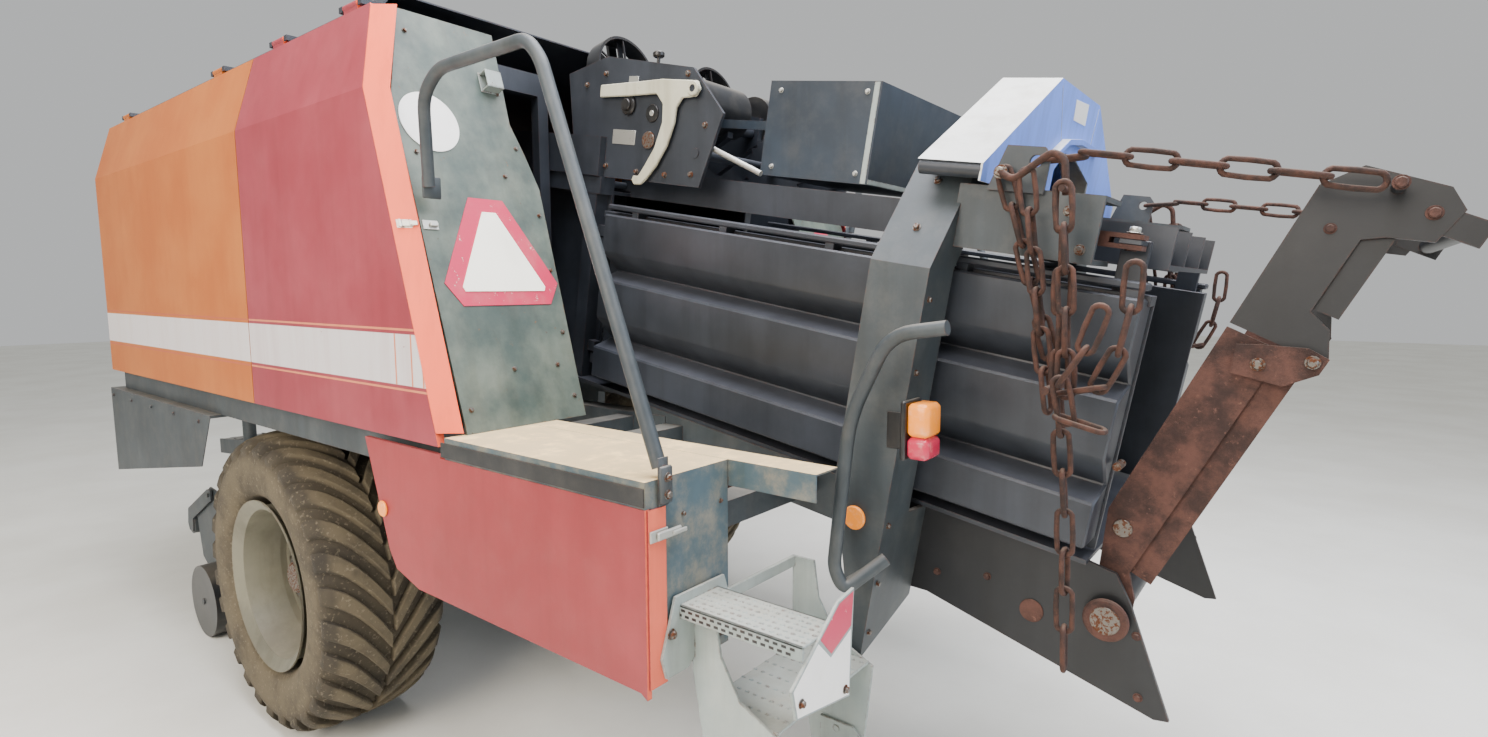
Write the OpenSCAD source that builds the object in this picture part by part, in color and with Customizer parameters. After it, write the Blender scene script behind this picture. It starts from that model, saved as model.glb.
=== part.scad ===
/* [Overall] */
// Distance of the axle behind the middle of the machine's length
axle_back = 284; // [0:10:600]
// Width over the side panels
body_w = 2540; // [2400:10:2700]
// Height of the side panels' lower edge
panel_bottom = 1405; // [1350:5:1450]
// Height of the fold in the side panels
panel_fold = 2420; // [2350:5:2480]
// Height of the side panels' upper edge
panel_top = 2695; // [2640:5:2750]
// Distance that the upper edge leans in
panel_lean = 80; // [40:5:120]
// Front edge of the front side panel, ahead of the axle
panel_front = 1850; // [1750:10:1950]
// Seam between front and rear side panel, ahead of the axle
panel_seam = -140; // [-300:10:0]
// Rear lower corner of the rear side panel, ahead of the axle
panel_rear = -1450; // [-1500:10:-1400]
// Rake of the rear panels from upright
rear_rake = 17.5; // [10:0.5:22]
// Thickness of a side panel with its stiffening
panel_t = 24; // [12:2:40]

/* [Wheels] */
// Radius of the tyres
tyre_r = 630; // [580:5:640]
// Width of the tyres
tyre_w = 480; // [400:10:520]
// Radius of the rim's flange
rim_r = 340; // [290:5:360]
// Distance between the outer faces of the tyres
track_w = 2500; // [2440:10:2530]
// Side of the square axle beam
axle_side = 120; // [90:5:140]

/* [Bale chamber] */
// Angle of the chamber, rising to the front
tilt = 9.5; // [6:0.5:12]
// Rear end of the chamber floor, ahead of the axle
chamber_rear = -2950; // [-3000:10:-2900]
// Height of the chamber floor at its rear end
chamber_rear_z = 1190; // [1150:5:1230]
// Inside width of the chamber
chamber_w = 800; // [780:10:820]
// Inside height of the chamber
chamber_h = 700; // [680:5:720]
// Length of the chamber floor
chamber_l = 3600; // [3500:10:3700]
// Length of the hinged density walls
wall_l = 1840; // [1750:10:1900]
// Height of the hinged density walls
wall_h = 640; // [600:5:660]
// Thickness of the chamber's plates
plate_t = 12; // [8:1:16]
// Running gap round moving pieces
gap = 8; // [6:1:12]

/* [Arch] */
// Rear face of the arch, from the chamber's rear end
arch_back = 430; // [400:5:460]
// Depth of the arch along the chamber
arch_d = 158; // [140:2:170]
// Width over the arch
arch_w = 1400; // [1360:10:1440]
// Height of the bend in the arch, over the chamber floor
arch_bend = 634; // [600:2:660]
// Height of the arch's shoulders over the chamber floor
arch_shoulder = 885; // [860:5:910]
// Height of the cover's top over the chamber floor
cover_top = 1160; // [1120:5:1200]
// Width over the cover's eaves
cover_w = 1270; // [1200:10:1300]
// Width of the cover's flat top
cover_flat = 400; // [300:10:500]

/* [Chute] */
// Distance of the chute's pivot behind the axle
chute_x = 2995; // [2980:5:3010]
// Height of the chute's pivot
chute_z = 1048; // [1030:2:1060]
// Lean of the stowed chute from upright
chute_lean = 26; // [20:1:32]
// Width over the chute's rails
chute_w = 812; // [800:4:816]
// Distance from the pivot to the fold of the chute
chute_fold = 730; // [680:10:780]
// Distance from the pivot to the head of the chute
chute_l = 1090; // [1040:10:1120]
// Height of the chute's side rails
rail_h = 115; // [90:5:130]

/* [Deck] */
// Height of the deck
deck_z = 1434; // [1425:1:1450]
// Rear edge of the deck behind the axle
deck_rear = 2258; // [2200:2:2290]
// Inner edge of the deck from the middle
deck_inner = 900; // [860:5:930]
// Height of the lower skirt's bottom edge
skirt_bottom = 960; // [900:5:1000]

/* [Front] */
// Distance from the axle to the front of the hitch ring
hitch_front = 4180; // [4050:10:4300]
// Height of the hitch ring
hitch_z = 520; // [450:10:600]
// Radius of the hole in the hitch ring
hitch_r = 25; // [20:1:30]
// Height of the input shaft
shaft_z = 1250; // [1230:10:1290]
// Radius of the flywheel
flywheel_r = 330; // [280:10:340]
// Radius of the splined shaft end
spline_r = 17.5; // [17:0.5:22]

/* [Pickup] */
// Centre of the pickup reel ahead of the axle
reel_x = 1450; // [1400:10:1500]
// Height of the pickup reel's centre
reel_z = 400; // [380:10:430]
// Radius over the pickup's tines
tine_r = 290; // [270:5:300]
// Width of the pickup reel
reel_w = 1880; // [1800:10:1900]
// Radius of the gauge wheels
gauge_r = 190; // [170:5:200]

/* [Hidden] */
$fn = 48;

axle_x = -axle_back;
half_w = body_w / 2;
hinge_y = half_w - panel_lean;
sill_y = half_w - 90;
ladder_y = [half_w - 558, half_w - 150];
bow_y = half_w - 55;
tyre_mid = track_w / 2 - tyre_w / 2;
wall_y = chamber_w / 2;
arch_y = arch_w / 2;
deck_x = panel_rear - 30;
wall_pin = [wall_l + 14, wall_y + 32];
wall_ears = [60, 500];
door_x = wall_l + 34;
door_z = chamber_h + 38;
knuckle_xs = [-950, -400, 200, 1500];
knuckle_l = 90;
knuckle_z = panel_top + 22;
shaft_r = 34;
meter = [1430, 870];
meter_r = 16;
trip = [1450, 1070];
trip_r = 12;
density_a = [350, 516, 752];
density_b = [60, wall_y + 88, 752];
lug = [270, 900];
lug_pin = [330, 868];
lug_pin_r = 8;
link_l = 112;
link_w = 46;
link_t = 12;
link_pitch = link_l - 2 * link_t - 0.3;
pickup_x = 1185;
pickup_z = 670;
guard_x = 1480;
guard_z = 700;
needle_ys = [-270 : 180 : 270];
needle_r = 850;
needle_x = 2300;
needle_z = -90;
black = [0.11, 0.11, 0.12];
charcoal = [0.26, 0.28, 0.29];
frame_grey = [0.36, 0.42, 0.43];
dusty_tyre = [0.35, 0.33, 0.29];
rim_grey = [0.66, 0.66, 0.56];
orange = [0.82, 0.56, 0.31];
faded_red = [0.69, 0.38, 0.42];
pale_grey = [0.78, 0.79, 0.76];
weathered = [0.43, 0.48, 0.45];
rust = [0.48, 0.29, 0.21];
cream = [0.79, 0.78, 0.67];
slate = [0.29, 0.35, 0.38];
white = [0.93, 0.93, 0.9];

// Puts the children at the axle, so that lengths count from it
module from_axle() {
    translate([axle_x, 0, 0]) children();
}

// Puts the children in the chamber's frame: x to the front, z off its floor
module in_chamber() {
    translate([axle_x + chamber_rear, 0, chamber_rear_z]) rotate([0, -tilt, 0]) children();
}

// Puts the children in the chute's frame: x up along the rails, z away from the machine
module in_chute() {
    translate([axle_x - chute_x, 0, chute_z]) rotate([0, -90 - chute_lean, 0]) children();
}

// Place of a point of the chamber's frame, counted from the axle
function off_axle(x, z) = [
    chamber_rear + x * cos(tilt) - z * sin(tilt),
    chamber_rear_z + x * sin(tilt) + z * cos(tilt)
];

module both_sides() {
    children();
    mirror([0, 1, 0]) children();
}

// An upright plate with its outline in x and z, from side y to side y + t
module side_plate(outline, y, t) {
    translate([0, y + t, 0]) rotate([90, 0, 0]) linear_extrude(t) polygon(outline);
}

// An upright plate across the machine with its outline in y and z, from x to x + t
module cross_plate(outline, x, t) {
    translate([x, 0, 0]) rotate([90, 0, 90]) linear_extrude(t) polygon(outline);
}

// A box between two corners
module block(low, high) {
    translate(low) cube(high - low);
}

// A round bar along y from y0 to y1
module bar_y(x, z, r, y0, y1) {
    translate([x, y1, z]) rotate([90, 0, 0]) cylinder(h = y1 - y0, r = r);
}

// A round bar along x from x0 to x1
module bar_x(y, z, r, x0, x1) {
    translate([x0, y, z]) rotate([0, 90, 0]) cylinder(h = x1 - x0, r = r);
}

// A round bar between two points
module rod(a, b, r) {
    d = b - a;
    translate(a) rotate([0, acos(d[2] / norm(d)), atan2(d[1], d[0])]) cylinder(h = norm(d), r = r);
}

// A bent tube through a list of points
module bent_tube(points, r) {
    for (i = [0 : len(points) - 2]) rod(points[i], points[i + 1], r);
    for (i = [1 : len(points) - 2]) translate(points[i]) sphere(r + 0.7);
}

// A flat chain link lying along x, its wire t thick
module link(l, w, t) {
    linear_extrude(t, center = true) difference() {
        union() {
            square([l - w, w], center = true);
            for (s = [-1, 1]) translate([s * (l - w) / 2, 0]) circle(d = w, $fn = 16);
        }
        square([l - w, w - 2 * t], center = true);
        for (s = [-1, 1]) translate([s * (l - w) / 2, 0]) circle(d = w - 2 * t, $fn = 16);
    }
}

// A chain of count links from the middle of its first link towards a direction
module chain(start, direction, count, turn) {
    d = direction / norm(direction);
    for (i = [0 : count - 1])
        translate(start + d * i * link_pitch) rotate([0, acos(d[2]), atan2(d[1], d[0])])
            rotate([0, -90, 0]) rotate([90 * ((i + turn) % 2), 0, 0]) link(link_l, link_w, link_t);
}

// Main beams, legs, outriggers and sills
module chassis() {
    front = panel_front - 36;
    color(frame_grey) {
        from_axle() both_sides() {
            block([-1560, 405, 1270], [panel_front, 485, 1395]);
            for (x = [-850, 850, 1500]) block([x, 484, 1300], [x + 80, sill_y + 1, 1380]);
            block([-1400, 484, 1300], [-1320, sill_y + 1, 1380]);
            block([panel_rear + 10, sill_y, 1299], [panel_front - 10, sill_y + 42, 1395]);
            for (x = [-20, 560]) block([x, 406, 1394], [x + 90, 484, off_axle(x - chamber_rear, 0)[1] - 14]);
            block([panel_front - 90, 407, 790], [panel_front - 1, 483, 1271]);
            block([pickup_x - 35, 407, pickup_z + 50], [pickup_x + 35, 483, 1271]);
            difference() {
                block([pickup_x - 45, 436, pickup_z - 45], [pickup_x + 45, 452, pickup_z + 60]);
                bar_y(pickup_x, pickup_z, 28.06, 400, 500);
            }
            block([front - 90, 406, 1394], [front, 484, 2300]);
            block([-2190, 480, 1232], [-2110, deck_inner + 91.7, 1300]);
            block([-1640, 480, 1300], [-1558, deck_inner + 91.7, 1369.7]);
        }
        from_axle() for (z = [790, 1290]) block([panel_front - 88, -410, z + 1], [panel_front - 2, 410, z + 90]);
        from_axle() block([front - 88, -410, 2201], [front - 2, 410, 2290]);
        in_chamber() both_sides() {
            block([530, 408, -150], [1560, 482, -plate_t - 0.3]);
            difference() {
                block([needle_x - 60, 406, -200], [needle_x + 60, 418, -plate_t - 0.3]);
                bar_y(needle_x, needle_z, 28.1, 400, 430);
            }
        }
    }
}

// Axle beam with its legs and stub axles
module axle() {
    color(frame_grey) from_axle() {
        block([-axle_side / 2, -740, tyre_r - axle_side / 2], [axle_side / 2, 740, tyre_r + axle_side / 2]);
        both_sides() {
            side_plate([[-170, 1269.7], [170, 1269.7], [axle_side / 2 + 20, tyre_r - axle_side / 2],
                [-axle_side / 2 - 20, tyre_r - axle_side / 2]], 420, 50);
            bar_y(0, tyre_r, 45, 730, tyre_mid + 30);
        }
    }
}

module tyre(side) {
    color(dusty_tyre) from_axle() translate([0, side * tyre_mid, tyre_r]) rotate([90, 0, 0])
        rotate_extrude($fn = 72) polygon([
            [rim_r - 14, -tyre_w / 2 + 50], [rim_r + 20, -tyre_w / 2 + 22], [rim_r + 130, -tyre_w / 2],
            [tyre_r - 60, -tyre_w / 2 + 12], [tyre_r - 16, -tyre_w / 2 + 60], [tyre_r, -tyre_w / 4],
            [tyre_r, tyre_w / 4], [tyre_r - 16, tyre_w / 2 - 60], [tyre_r - 60, tyre_w / 2 - 12],
            [rim_r + 130, tyre_w / 2], [rim_r + 20, tyre_w / 2 - 22], [rim_r - 14, tyre_w / 2 - 50]]);
}

module rim(side) {
    color(rim_grey) from_axle() translate([0, side * tyre_mid, tyre_r]) rotate([side * -90, 0, 0]) {
        rotate_extrude($fn = 72) polygon([
            [rim_r - 15, -tyre_w / 2 + 49.5], [rim_r + 14, -tyre_w / 2 + 24], [rim_r + 14, -tyre_w / 2 + 16],
            [rim_r - 30, -tyre_w / 2 + 45], [rim_r - 60, -60], [rim_r - 60, 60],
            [rim_r - 30, tyre_w / 2 - 45], [rim_r + 14, tyre_w / 2 - 16], [rim_r + 14, tyre_w / 2 - 24],
            [rim_r - 15, tyre_w / 2 - 49.5]]);
        difference() {
            translate([0, 0, 20]) cylinder(h = 14, r = rim_r - 58);
            for (a = [0 : 36 : 359]) rotate([0, 0, a]) translate([rim_r - 110, 0, 0]) cylinder(h = 60, r = 22);
            cylinder(h = 60, r = 70);
        }
        difference() {
            translate([0, 0, -60]) cylinder(h = 150, r = 95);
            translate([0, 0, -61]) cylinder(h = 92, r = 45.05);
        }
    }
}

module tyre_left() { tyre(1); }
module tyre_right() { tyre(-1); }
module rim_left() { rim(1); }
module rim_right() { rim(-1); }

// Floor, fixed front walls and roof of the bale chamber
module chamber() {
    color(charcoal) in_chamber() {
        difference() {
            block([0, -wall_y - 80, -plate_t], [chamber_l, wall_y + 80, 0]);
            block([2560, -wall_y + 40, -50], [3120, wall_y - 40, 50]);
            for (y = needle_ys) block([1400, y - 16, -50], [1520, y + 16, 50]);
        }
        both_sides() {
            block([wall_l + 20, wall_y, -1], [chamber_l - 1, wall_y + plate_t, chamber_h + 1]);
            for (x = [wall_l + 40, 2500, 3100, chamber_l - 62])
                block([x, wall_y + plate_t - 1, -2], [x + 59, wall_y + 68, chamber_h + 2]);
            block([wall_l + 21, wall_y + 2, chamber_h - 3], [chamber_l - 5, wall_y + 70, chamber_h + 60]);
            for (z = wall_ears) {
                block([wall_l + 4, wall_y + 17, z + 45.3], [wall_l + 45, wall_y + 47, z + 85]);
                translate([wall_pin[0], wall_pin[1], z - 3]) cylinder(h = 60, r = 8);
            }
        }
        bar_y(door_x, door_z, 12, -wall_y - 20, wall_y + 20);
        difference() {
            block([wall_l + 24, -wall_y - 5, chamber_h], [chamber_l - 3, wall_y + 5, chamber_h + plate_t]);
            for (y = needle_ys) block([1920, y - 16, 600], [2220, y + 16, 800]);
        }
    }
}

// A hinged density wall with its pressed ribs
module wall() {
    rib_pitch = (wall_h - 30) / 3;
    color(charcoal) in_chamber() {
        block([0, wall_y, gap], [wall_l, wall_y + plate_t, wall_h]);
        for (i = [0 : 2]) {
            z = gap + 14 + i * rib_pitch;
            cross_plate([[wall_y + plate_t - 1, z], [wall_y + 105, z + 26], [wall_y + 105, z + 100],
                [wall_y + plate_t - 1, z + 168]], 6, wall_l - 70);
        }
        block([0, wall_y + plate_t - 1, wall_h - 24], [wall_l - 1, wall_y + 60, wall_h]);
        for (z = wall_ears) difference() {
            union() {
                block([wall_l - 60, wall_y + plate_t - 1, z], [wall_l - 2, wall_y + 46, z + 40]);
                block([wall_l - 10, wall_y + 18, z + 0.5], [wall_l + 28, wall_y + 45, z + 39.5]);
            }
            translate([wall_pin[0], wall_pin[1], z - 5]) cylinder(h = 60, r = 8.05);
        }
        block([30, wall_y + 20, wall_h - 10], [90, wall_y + 45, density_b[2] + 7]);
        difference() {
            block([36, wall_y + 22, density_b[2] - 6], [84, density_b[1] + 24, density_b[2] + 6]);
            translate([density_b[0], density_b[1], wall_h]) cylinder(h = 200, r = 13.6);
        }
    }
}

module wall_left() { wall(); }
module wall_right() { mirror([0, 1, 0]) wall(); }

// Hinged top door between the density walls
module top_door() {
    half = wall_y - 62;
    color(charcoal) in_chamber() {
        block([0, -half, chamber_h], [wall_l, half, chamber_h + plate_t]);
        for (y = [-half, -130, 118, half - 12]) difference() {
            union() {
                block([0, y, chamber_h + plate_t - 1], [wall_l - 1, y + 12, chamber_h + 100]);
                block([wall_l - 40, y, chamber_h + 20], [door_x + 20, y + 12, chamber_h + 60]);
            }
            bar_y(door_x, door_z, 12.05, -500, 500);
        }
        block([40, -half, chamber_h + plate_t - 1], [100, half, chamber_h + 60]);
    }
}

module plunger() {
    color(frame_grey) in_chamber() both_sides() for (z = [30, 620])
        block([2700, wall_y - 12, z], [3040, wall_y - 0.08, z + 40]);
    color(frame_grey) in_chamber() difference() {
        block([2640, -wall_y + 10, 10], [3080, wall_y - 10, chamber_h - 10]);
        block([2670, -wall_y + 60, 60], [3100, wall_y - 60, chamber_h - 60]);
        for (y = needle_ys) block([2600, y - 20, 0], [2680, y + 20, chamber_h]);
    }
}

// Needles and their swinging yoke under the chamber
module needle_yoke() {
    color(rust) in_chamber() {
        bar_y(needle_x, needle_z, 28, -417, 417);
        translate([needle_x, 0, needle_z]) rotate([90, 0, 0]) {
            for (y = needle_ys) translate([0, 0, y - 7]) rotate([0, 0, 176])
                rotate_extrude(angle = 71) translate([needle_r - 20, 0]) square([40, 14]);
            rotate([0, 0, 247]) translate([needle_r, 0, -385]) cylinder(h = 770, r = 26);
            for (y = [-385, 361]) rotate([0, 0, 247]) translate([0, -30, y]) cube([needle_r + 10, 60, 24]);
        }
    }
}

// Portal frame over the bale chamber with the cylinder brackets
module arch() {
    post_in = 560;
    color(frame_grey) in_chamber() {
        both_sides() {
            side_plate([[arch_back, arch_bend], [arch_back + arch_d, arch_bend], [arch_back + arch_d, 67],
                [arch_back + 25, -388], [arch_back, -388]], arch_y - plate_t, plate_t);
            cross_plate([[arch_y, arch_bend], [arch_y, -388], [wall_y + 47.3, -290], [wall_y + 47.3, -20],
                [post_in, -10], [post_in, arch_bend]], arch_back, plate_t);
            cross_plate([[arch_y, arch_bend], [arch_y, 67], [post_in + 40, 67], [post_in + 40, arch_bend]],
                arch_back + arch_d - plate_t, plate_t);
            cross_plate([[arch_y, arch_bend], [530, arch_shoulder], [516, arch_shoulder - 8],
                [arch_y - 14, arch_bend - 6]], arch_back, arch_d);
            cross_plate([[arch_y - 8, arch_bend], [530, arch_shoulder], [400, arch_shoulder],
                [post_in, arch_bend]], arch_back, plate_t);
            block([arch_back + 40, 485.3, -130], [arch_back + 100, arch_y - plate_t, -60]);
            difference() {
                block([110, 440, 690], [arch_back + 10, 592, 840]);
                block([100, 430, 702], [arch_back - 12, 580, 828]);
            }
            difference() {
                side_plate([[240, 830], [240, 915], [255, 932], [340, 932], [370, 830]], 592, 10);
                bar_y(lug[0], lug[1], 14, 500, 700);
            }
            bar_y(lug_pin[0], lug_pin[1], lug_pin_r, 601, 642);
            bar_y(lug_pin[0], lug_pin[1], 14, 634, 642);
        }
        block([arch_back, -520, 835], [arch_back + arch_d, 520, arch_shoulder]);
    }
}

// Folded sheet cover over the top of the arch
module arch_cover() {
    low = [cover_w / 2, arch_shoulder + 0.3];
    high = [cover_flat / 2, cover_top];
    skin = [[low[0], low[1]], [high[0], high[1]], [-high[0], high[1]], [-low[0], low[1]],
        [-low[0] + 14, low[1]], [-high[0] + 2, high[1] - 5], [high[0] - 2, high[1] - 5], [low[0] - 14, low[1]]];
    face = [[low[0], low[1]], high, [-high[0], high[1]], [-low[0], low[1]], [-low[0], low[1] - 40],
        [low[0], low[1] - 40]];
    color(pale_grey) in_chamber() {
        cross_plate(skin, 376, 164);
        difference() {
            cross_plate(face, 376, 5);
            cross_plate([[120, 800], [120, 930], [50, 985], [-50, 985], [-250, 930], [-250, 800]], 370, 20);
        }
        cross_plate([[low[0], low[1]], high, [-high[0], high[1]], [-low[0], low[1]]], 535, 5);
    }
}

module density_barrel() {
    color(frame_grey) in_chamber() {
        difference() {
            rod(density_a, density_a + (density_b - density_a) * 0.5, 24);
            rod(density_a + (density_b - density_a) * 0.25, density_b, 11.05);
        }
        translate(density_a) translate([0, 0, -30]) cylinder(h = 60, r = 28);
    }
}

module density_rod() {
    color(rust) in_chamber() {
        rod(density_a + (density_b - density_a) * 0.32, density_a + (density_b - density_a) * 0.8, 11);
        difference() {
            translate(density_b) translate([-26, -26, -17]) cube([98, 52, 34]);
            translate(density_b) translate([-30, -30, -6.5]) cube([74, 60, 13]);
        }
        translate(density_b) translate([0, 0, -20]) cylinder(h = 40, r = 12);
    }
}

module density_barrel_left() { density_barrel(); }
module density_barrel_right() { mirror([0, 1, 0]) density_barrel(); }
module density_rod_left() { density_rod(); }
module density_rod_right() { mirror([0, 1, 0]) density_rod(); }

// Pointed plates below the chamber's end, with the cross tubes
module tail_plates() {
    color(frame_grey) from_axle() {
        both_sides() difference() {
            side_plate([[-2440, 1000], [-2530, 997], [-3105, 827], [-3137, 832], [-3045, 1089], [-3010, 1160],
                off_axle(6, -plate_t - 0.3), off_axle(518, -plate_t - 0.3)], wall_y + 35, plate_t);
            bar_y(-2817, 1018, 16, 0, 600);
        }
        bar_y(-chute_x, chute_z, 30, -wall_y - 60, wall_y + 60);
        both_sides() bar_y(-chute_x, chute_z, 44, wall_y + 46, wall_y + 58);
        bar_y(-2600, 1120, 30, -wall_y - 36, wall_y + 36);
    }
}

// One pair of side rails of the chute between two distances from its pivot
module chute_rails(outline) {
    both_sides() side_plate(outline, chute_w / 2 - plate_t, plate_t);
}

module chute_lower() {
    color(rust) in_chute() {
        difference() {
            union() {
                chute_rails([[0, -46], [225, -rail_h - 15], [chute_fold - 6, -rail_h - 15],
                    [chute_fold - 6, -15], [110, -15], [60, 25], [0, 46]]);
                both_sides() bar_y(0, 0, 46, chute_w / 2 - plate_t, chute_w / 2);
            }
            bar_y(0, 0, 30.06, -600, 600);
        }
        both_sides() block([112, chute_w / 2 - 62, -17], [chute_fold - 40, chute_w / 2 - plate_t + 1, 35]);
        for (u = [180 : 130 : 700]) bar_y(u, 8, 22, -chute_w / 2 + 60, chute_w / 2 - 60);
        both_sides() {
            side_plate([[640, -75], [700, -95], [718, -60], [chute_fold + 22, 20], [chute_fold + 18, 62],
                [chute_fold - 18, 62], [660, 20]], chute_w / 2 + 5.3, 8);
            bar_y(680, -40, 14, chute_w / 2 - 1, chute_w / 2 + 6);
            bar_y(chute_fold, 40, 10, chute_w / 2 - plate_t - 6, chute_w / 2 + 18);
        }
    }
}

module chute_upper() {
    color(charcoal) in_chute() difference() {
        union() {
        chute_rails([[chute_fold + 4, -rail_h - 15], [chute_l - 40, -rail_h - 15], [chute_l + 20, -80],
            [chute_l + 30, 60], [chute_l, 100], [chute_l - 70, 90], [chute_l - 90, 20], [chute_l - 110, -15],
            [chute_fold + 90, -15], [chute_fold + 70, 32], [chute_fold + 18, 60], [chute_fold - 18, 60],
            [chute_fold - 18, 20], [chute_fold + 4, -15]]);
        both_sides() block([chute_fold + 95, chute_w / 2 - 62, -17], [chute_l - 60, chute_w / 2 - plate_t + 1, 34]);
        bar_y(chute_l - 8, 0, 24, -chute_w / 2 + 6, chute_w / 2 - 6);
        for (u = [850, 960]) bar_y(u, 8, 22, -chute_w / 2 + 60, chute_w / 2 - 60);
        bar_y(chute_l - 28, 120, 20, -chute_w / 2 + 6, chute_w / 2 - 6);
        both_sides() block([chute_l - 55, chute_w / 2 - plate_t - 2, 55], [chute_l - 5, chute_w / 2 - 2, 151]);
        both_sides() bar_y(chute_l, -13, 12, chute_w / 2 - 1, chute_w / 2 + 94);
        }
        bar_y(chute_fold, 40, 10.05, -500, 500);
    }
}

// From the arch's lug, through its hole, to the hook on the chute's head
module taut_chain(side) {
    at = off_axle(lug[0], lug[1]);
    hook = [-3459.9, side * 474, 2034];
    first = [at[0] - link_l / 2 + 1, side * 597, at[1]];
    second = first - [link_pitch, 0, 0];
    color(rust) from_axle() {
        translate(first) link(link_l, link_w, link_t);
        chain(second, hook - second, 6, 1);
    }
}

module hanging_chain(side) {
    at = off_axle(lug_pin[0], lug_pin[1]);
    first = [at[0], side * 618, at[1] + lug_pin_r + 0.3 - link_l / 2 + link_t];
    color(rust) from_axle() chain(first, [0, 0, -1], 9, 1);
}

module taut_chain_left() { taut_chain(1); }
module taut_chain_right() { taut_chain(-1); }
module hanging_chain_left() { hanging_chain(1); }
module hanging_chain_right() { hanging_chain(-1); }

// Decks, their boxes and the narrow walkways beside the chamber
module decks() {
    rear = -deck_rear;
    color(weathered) from_axle() both_sides() {
        difference() {
            block([rear, deck_inner + 92, deck_z - 60], [deck_x, half_w - 2, deck_z]);
            block([rear + 4, deck_inner + 96, deck_z - 70], [deck_x - 4, half_w - 6, deck_z - 4]);
        }
        block([rear - 250, deck_inner, deck_z - 4], [deck_x, deck_inner + 91, deck_z]);
        block([rear - 250, deck_inner + 87, deck_z - 64], [rear - 1, deck_inner + 91, deck_z - 3.9]);
        difference() {
            block([rear, deck_inner + 92, skirt_bottom + 20], [-1450, half_w - 20, deck_z - 59]);
            block([rear + 4, deck_inner + 96, skirt_bottom + 24], [-1454, half_w - 24, deck_z - 50]);
        }
    }
}

// Faded lower skirts behind the wheels
module skirts() {
    color(faded_red) from_axle() both_sides() {
        side_plate([[-1460, deck_z - 60.3], [-1460, 1384], [-1025, 1384], [-1145, 1046], [-1183, 994], [-1308, skirt_bottom],
            [-deck_rear + 20, skirt_bottom], [-deck_rear, skirt_bottom - 12], [-deck_rear, deck_z - 60.3]], half_w - 14, 14);
        block([-deck_rear - 4.3, half_w - 60, skirt_bottom + 10], [-deck_rear - 0.3, half_w - 6, deck_z - 62]);
    }
}

// Upper step of the ladder with its side plates
module ladder() {
    color(frame_grey) from_axle() {
        block([-2500, ladder_y[0] + 7, 885], [-2290, ladder_y[1] + 1, 895]);
        for (y = ladder_y) side_plate([[-2262, 1330], [-2262, 700], [-2330, 600], [-2480, 600],
            [-2510, 880], [-2330, 1330]], y, 8);
        block([-2262 - 8, ladder_y[0] + 1, 1300], [-2258.3, ladder_y[1] + 7, 1329]);
        for (y = [ladder_y[0] - 1, ladder_y[1] - 10]) bar_y(-2410, 680, 9, y, y + 19);
    }
}

// Lower step, hinged to fold up
module ladder_step() {
    color(frame_grey) from_axle() {
        block([-2560, ladder_y[0] + 10, 545], [-2380, ladder_y[1] - 2, 555]);
        difference() {
            for (y = [ladder_y[0] + 9, ladder_y[1] - 8]) side_plate([[-2360, 700], [-2360, 540], [-2560, 540], [-2580, 570], [-2460, 700]], y, 7);
            bar_y(-2410, 680, 9.06, ladder_y[0] - 10, ladder_y[1] + 20);
        }
    }
}

module handrails() {
    r = 17;
    color(frame_grey) from_axle() {
        both_sides() {
            bent_tube([[-1325, bow_y - 25, 2130], [-1360, bow_y, 2370], [-1440, bow_y, 2430],
                [-1830, bow_y, 2430], [-1880, bow_y, 2380], [-2250, bow_y, deck_z + 22]], r);
            block([-2262, bow_y - 16, deck_z - 61.7], [-deck_rear - 0.3, bow_y + 16, deck_z + 46]);
            bar_y(-2468, 1112, 12, arch_y + 0.3, arch_y + 100);
            bent_tube([[-2540, arch_y + 16, 1170], [-2470, arch_y + 100, 1100], [-2440, arch_y + 100, 1150],
                [-2480, arch_y + 100, 1530], [-2580, arch_y + 100, 1735], [-2720, arch_y + 100, 1755]], r);
        }
    }
}

// Roof over the knotters and the twine boxes
module hood() {
    y = hinge_y - 34;
    color(charcoal) from_axle() {
        difference() {
            cross_plate([[y, panel_top - 10], [y - 60, panel_top + 70], [-y + 60, panel_top + 70], [-y, panel_top - 10]],
                -1000, panel_front - 30 + 1000);
            cross_plate([[y - 6, panel_top - 11], [y - 64, panel_top + 65], [-y + 64, panel_top + 65],
                [-y + 6, panel_top - 11]], -1010, panel_front - 30 + 1006);
        }
        cross_plate([[half_w - 34, panel_bottom], [half_w - 34, panel_fold - 10], [y, panel_top - 10], [-y, panel_top - 10],
            [-half_w + 34, panel_fold - 10], [-half_w + 34, panel_bottom]], panel_front - 34, 4);
        both_sides() block([-1000, y - 40, panel_top - 60], [panel_front - 34, y - 6, panel_top - 10]);
        both_sides() for (x = knuckle_xs) {
            bar_x(hinge_y - 12, knuckle_z, 5, x - 20, x + knuckle_l + 20);
            for (dx = [-30, knuckle_l + 6])
                block([x + dx, y - 34, knuckle_z - 9], [x + dx + 24, hinge_y - 4, knuckle_z + 9]);
        }
        both_sides() for (x = [-960, 1600]) block([x, 486, 2560], [x + 40, y - 6, 2640]);
        both_sides() for (x = [-961, 1599]) block([x, 485.3, 1300], [x + 42, 530, 2561]);
    }
}

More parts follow.
